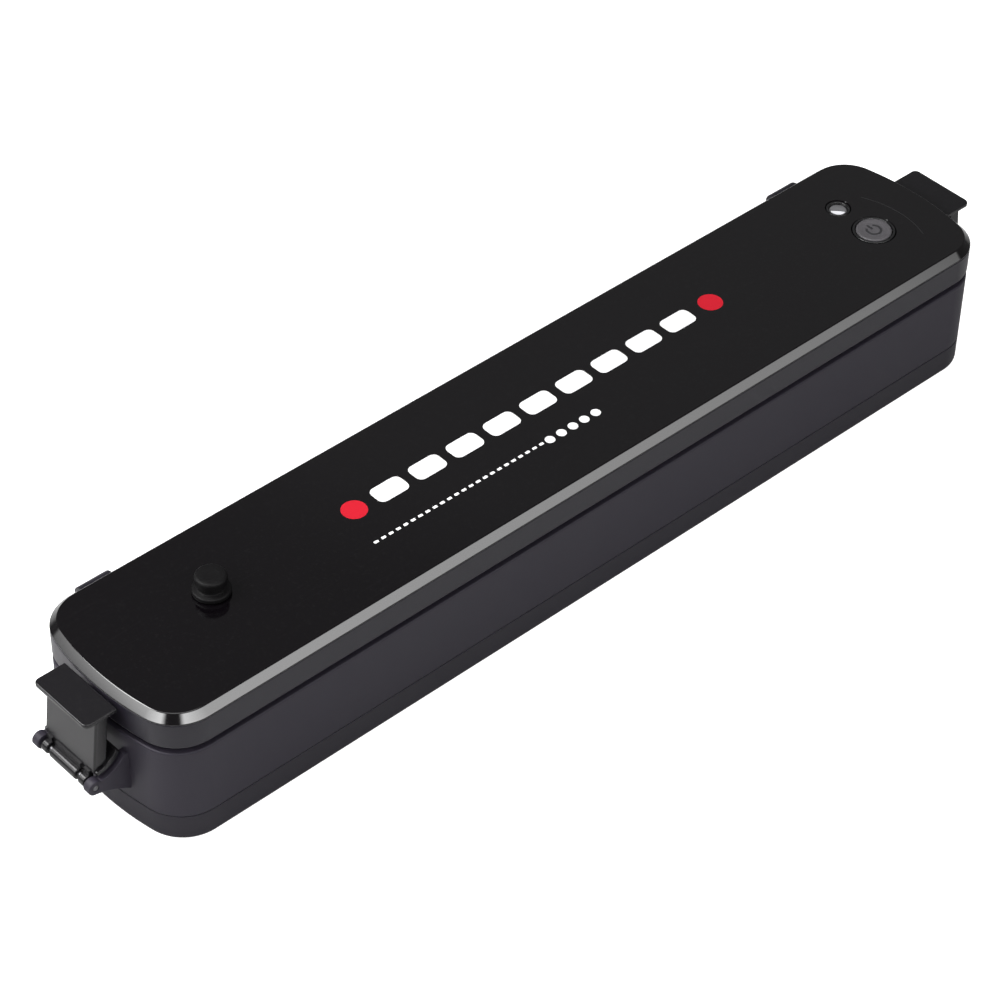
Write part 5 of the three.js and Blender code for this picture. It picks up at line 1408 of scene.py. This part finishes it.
def latch_lever(sizes):
    """A lever of the right-hand latch: tab, plate, cheeks, curved floor and three knuckles."""
    half, cheek, floor_thickness, tab_thickness = 12.0, 1.4, 1.4, 1.6
    top, foot = high("latch_lever_right").z, AXLE.z + PLATE_FOOT
    tab_x, tab_half, tab_root = END_X + bench_mm(sizes.tab_reach), half + 0.8, END_X + 0.5
    corner = bench_mm(sizes.tab_corner)
    shape = [(tab_root, -tab_half), (tab_x, -tab_half, corner)]
    shape += [(tab_x, tab_half, corner), (tab_root, tab_half)]
    shape = rounded(shape, closed=True, steps=8)
    tab = softened(prism("tab", shape, top - tab_thickness, top), 0.45, 4)
    inner, middle, outer = latch_edge(0, 0)
    top_inner, top_middle, top_outer = latch_edge(floor_thickness, floor_thickness)
    shape = bend(inner, middle, outer, 16)
    shape += bend((outer[0], top_outer[1]), top_middle, top_inner, 16)
    floor = softened(prism("floor", shape, -half - 1, half + 1, "Y"), 0.35, 3)
    face = latch_plate(sizes)
    parts = [floor, leaning_slab("plate", face, (0, PLATE), (-half, half), (foot, top - 0.5), 0.7)]
    for y in ((-half, cheek - half), (half - cheek, half)):
        parts.append(leaning_slab("cheek", face, (0.5, 4.5), y, (foot + 2, top - 0.5), 0.35))
    for y0, y1 in ((-10.4, -7.8), (-6.2, 6.2), (7.8, 10.4)):
        parts.append(rod("knuckle", 2.1, y0, y1, AXLE.x, AXLE.z, "Y", 0.35))
        parts.append(block("web", (AXLE.x - 2.05, AXLE.x - 0.4), (y0 + 0.1, y1 - 0.1), (AXLE.z, foot + 0.6)))
    return cut(join(tab, *parts), rod("bore", 1.15, -20, 20, AXLE.x, AXLE.z, "Y"))


def latch_hook(sizes):
    """The bent steel strip behind a lever's plate."""
    metal, lip = 0.9, 0.8
    face = latch_plate(sizes)
    foot, top = span("latch_hook_right", 2)
    tip, nib = low("latch_hook_right").x, top - metal
    behind = PLATE + CLEAR
    shape = [
        (face(foot) - behind, foot),
        (face(top) - behind, top, 1.1),
        (tip, top, 0.9),
        (tip, nib - lip),
        (tip + metal, nib - lip),
        (tip + metal, nib, 0.2),
        (face(nib) - behind - metal, nib, 0.3),
        (face(foot) - behind - metal, foot),
    ]
    strip = prism("hook", rounded(shape, closed=True), *span("latch_hook_right", 1), "Y")
    return softened(strip, 0.12, 2)


class SEALER_OT_latches(bpy.types.Operator):
    """Builds the latch lever and its steel hook for each end"""

    bl_idname = "sealer.latches"
    bl_label = "Latches"

    def execute(self, context):
        sizes = context.scene.sealer_sizes
        for side, degrees in (("right", 0), ("left", 180)):
            lever, hook = (turned_round(form(sizes), degrees) for form in (latch_lever, latch_hook))
            body = f"latch_{side}"
            hand_over(lever, f"lever_{side}", body, "latch_plastic", f"latch_lever_{side}")
            hand_over(hook, f"hook_{side}", body, "steel", f"latch_hook_{side}")
        return {"FINISHED"}


class SEALER_OT_inlet(bpy.types.Operator):
    """Builds the mains inlet in the rear wall"""

    bl_idname = "sealer.inlet"
    bl_label = "Mains inlet"

    def execute(self, context):
        (x0, x1), (y0, y1), (z0, z1) = (span("inlet_socket", axis) for axis in range(3))
        side, lift, flange_thickness, pin_x = 3.0, 2.0, 1.5, 4.3
        flange_y = SIDE_Y - bench_mm(context.scene.sealer_sizes.wall) - CLEAR
        shape = rectangle(x0 + side, x1 - side, z0 + lift, z1 - lift, 1.5)
        body = softened(prism("body", shape, y0, y1, "Y"), 0.3, 2)
        flange = prism("flange", rectangle(x0, x1, z0, z1, 1.5), flange_y - flange_thickness, flange_y, "Y")
        shape = rectangle(x0 + side + 2, x1 - side - 2, z0 + 3.5, z1 - 3.5, 3.2)
        socket = cut(join(body, flange), prism("mouth", shape, y0 + 2, y1 + PAST, "Y"))
        pins = [rod("pin", 1.1, y0 + 1, y1 - 2, INLET.x + sx * pin_x, INLET.z, "Y", 0.4) for sx in (-1, 1)]
        hand_over(join(socket, *pins), "mains_inlet", "housing", "dark_plastic", "inlet_socket")
        return {"FINISHED"}


# ------------------------------------------------------------------ stage


CAMERA_RANGE = 0.05, 50
SENSOR_WIDTH = 36
FLOOR_HALF = 6.0
FLOOR_Z = -0.0002
FLOOR_GLOW = 0.85
ROOM_LIGHT = (0.17, 0.17, 0.17)
ROOM_SEEN = (1.0, 1.0, 1.0)
ORBIT_HEIGHT = 0.05
SOFT_RIM = 0.12


def soft_light(name, place, size, power, aim, start=1.0, end=1.0, tilt=0.0):
    """A softbox whose brightness runs from start to end along its width and fades at its rim."""
    light = bpy.data.lights.new(name, "AREA")
    light.shape = "RECTANGLE"
    light.size, light.size_y = size
    light.energy = power
    light.use_nodes = True
    tree = light.node_tree
    glow = tree.nodes["Emission"]
    across = tree.nodes.new("ShaderNodeSeparateXYZ")
    tree.links.new(tree.nodes.new("ShaderNodeNewGeometry").outputs["Parametric"], across.inputs[0])
    strength = ramp(tree, across.outputs["X"], 0.0, 1.0, start, end)
    for axis in ("X", "Y"):
        rim = calc(tree, "PINGPONG", across.outputs[axis], 0.5)
        strength = calc(tree, "MULTIPLY", strength, ramp(tree, rim, 0.0, SOFT_RIM))
    tree.links.new(strength, glow.inputs["Strength"])
    obj = bpy.data.objects.new(name, light)
    obj.location = place
    facing = (Vector(aim) - Vector(place)).to_track_quat("-Z", "Y").to_matrix()
    obj.rotation_euler = (facing @ Matrix.Rotation(math.radians(tilt), 3, "Z")).to_euler()
    bpy.context.scene.collection.objects.link(obj)
    return obj


def around_object(azimuth, elevation, distance):
    """A place on a sphere round the housing."""
    a, e = math.radians(azimuth), math.radians(elevation)
    return (
        distance * math.cos(a) * math.cos(e),
        distance * math.sin(a) * math.cos(e),
        ORBIT_HEIGHT + distance * math.sin(e),
    )


class SEALER_OT_stage(bpy.types.Operator):
    """Sets up the camera, the soft studio light and the plain floor"""

    bl_idname = "sealer.stage"
    bl_label = "Stage"

    def execute(self, context):
        stage = context.scene.sealer_stage
        azimuth, elevation, roll = stage.azimuth, stage.elevation, stage.roll
        flat = math.cos(elevation)
        back = Vector((math.sin(azimuth) * flat, -math.cos(azimuth) * flat, math.sin(elevation)))
        right = (-back).cross(Vector((0, 0, 1))).normalized()
        up = right.cross(-back)
        rolled_right = math.cos(roll) * right + math.sin(roll) * up
        rolled_up = -math.sin(roll) * right + math.cos(roll) * up
        aim = Vector((0, MIDDLE, stage.aim_height))
        place = aim + back * stage.distance + rolled_right * stage.across + rolled_up * stage.along
        camera = bpy.data.cameras.new("camera")
        camera.lens = stage.lens
        camera.sensor_width = SENSOR_WIDTH
        camera.clip_start, camera.clip_end = CAMERA_RANGE
        viewer = bpy.data.objects.new("camera", camera)
        turn = Matrix((rolled_right, rolled_up, back)).transposed().to_4x4()
        viewer.matrix_world = Matrix.Translation(place) @ turn
        context.scene.collection.objects.link(viewer)
        context.scene.camera = viewer
        context.scene.view_settings.view_transform = "Standard"

        corners = [(x * FLOOR_HALF, y * FLOOR_HALF, FLOOR_Z) for x, y in ((-1, -1), (1, -1), (1, 1), (-1, 1))]
        mesh = bpy.data.meshes.new("floor")
        mesh.from_pydata(corners, [], [(0, 1, 2, 3)])
        floor = bpy.data.objects.new("floor", mesh)
        context.scene.collection.objects.link(floor)
        material, tree, shader = blank("pale_floor", 0.9, specular=0.0)
        shader.inputs["Base Color"].default_value = (*stage.floor, 1)
        shader.inputs["Emission Color"].default_value = (1, 1, 1, 1)
        seen = tree.nodes.new("ShaderNodeLightPath").outputs["Is Camera Ray"]
        feed(tree, shader.inputs["Emission Strength"], calc(tree, "MULTIPLY", seen, FLOOR_GLOW))
        mesh.materials.append(material)

        target = (0, MIDDLE, 0.04)
        beside_left_end = (-0.24, 0.07, 0)
        for light in (
            ("overhead", (-0.15, 0.05, 1.7), (1.5, 1.3), 15, target),
            ("front", around_object(281, 36, 1.25), (2.1, 0.3), 14.2, target, 2.3, 0.3, -15),
            ("left", around_object(157, 28, 1.1), (1.75, 0.25), 9.8, target, 0.05, 2.6, 19),
            ("far_right", around_object(34, 33, 1.6), (1.2, 0.8), 0.22, target),
            ("left_floor", (-0.36, 0.2, 0.42), (0.25, 0.25), 4.0, beside_left_end),
        ):
            soft_light(*light)

        world = bpy.data.worlds.new("studio")
        world.use_nodes = True
        context.scene.world = world
        tree = world.node_tree
        seen = tree.nodes.new("ShaderNodeLightPath").outputs["Is Camera Ray"]
        glow = tree.nodes["Background"]
        glow.inputs["Strength"].default_value = 1.0
        feed(tree, glow.inputs["Color"], mix_colour(tree, seen, ROOM_LIGHT, ROOM_SEEN))
        return {"FINISHED"}


# ------------------------------------------------------------------ panel and registration

STEPS = (
    SEALER_OT_stage,
    SEALER_OT_finishes,
    SEALER_OT_base,
    SEALER_OT_fastenings,
    SEALER_OT_shell,
    SEALER_OT_deck,
    SEALER_OT_seals,
    SEALER_OT_lid,
    SEALER_OT_graphic,
    SEALER_OT_controls,
    SEALER_OT_hinges,
    SEALER_OT_latches,
    SEALER_OT_inlet,
)


class SEALER_PT_panel(bpy.types.Panel):
    """Lists the sealer's pieces and its settings"""

    bl_idname = "SEALER_PT_panel"
    bl_label = "Vacuum Sealer"
    bl_space_type = "VIEW_3D"
    bl_region_type = "UI"
    bl_category = "Sealer"

    def draw(self, context):
        for step in STEPS:
            self.layout.operator(step.bl_idname)
        for group in SETTINGS:
            settings = getattr(context.scene, group)
            box = self.layout.box()
            for name in setting_names(settings):
                box.prop(settings, name)


SETTINGS = {
    "sealer_sizes": SealerSizes,
    "sealer_graphic": SealerGraphic,
    "sealer_colours": SealerColours,
    "sealer_stage": SealerStage,
}


def register():
    for group in SETTINGS.values():
        bpy.utils.register_class(group)
    for step in (*STEPS, SEALER_PT_panel):
        bpy.utils.register_class(step)
    for name, group in SETTINGS.items():
        setattr(bpy.types.Scene, name, PointerProperty(type=group))


def unregister():
    for name in SETTINGS:
        delattr(bpy.types.Scene, name)
    for step in reversed((*STEPS, SEALER_PT_panel)):
        bpy.utils.unregister_class(step)
    for group in reversed(list(SETTINGS.values())):
        bpy.utils.unregister_class(group)


CORNERS = corner_copies_tree()
ROW = row_tree()
LOOP = loop_tree()


def main():
    register()
    for step in STEPS:
        group, name = step.bl_idname.split(".")
        getattr(getattr(bpy.ops, group), name)()


if __name__ == "__main__":
    main()
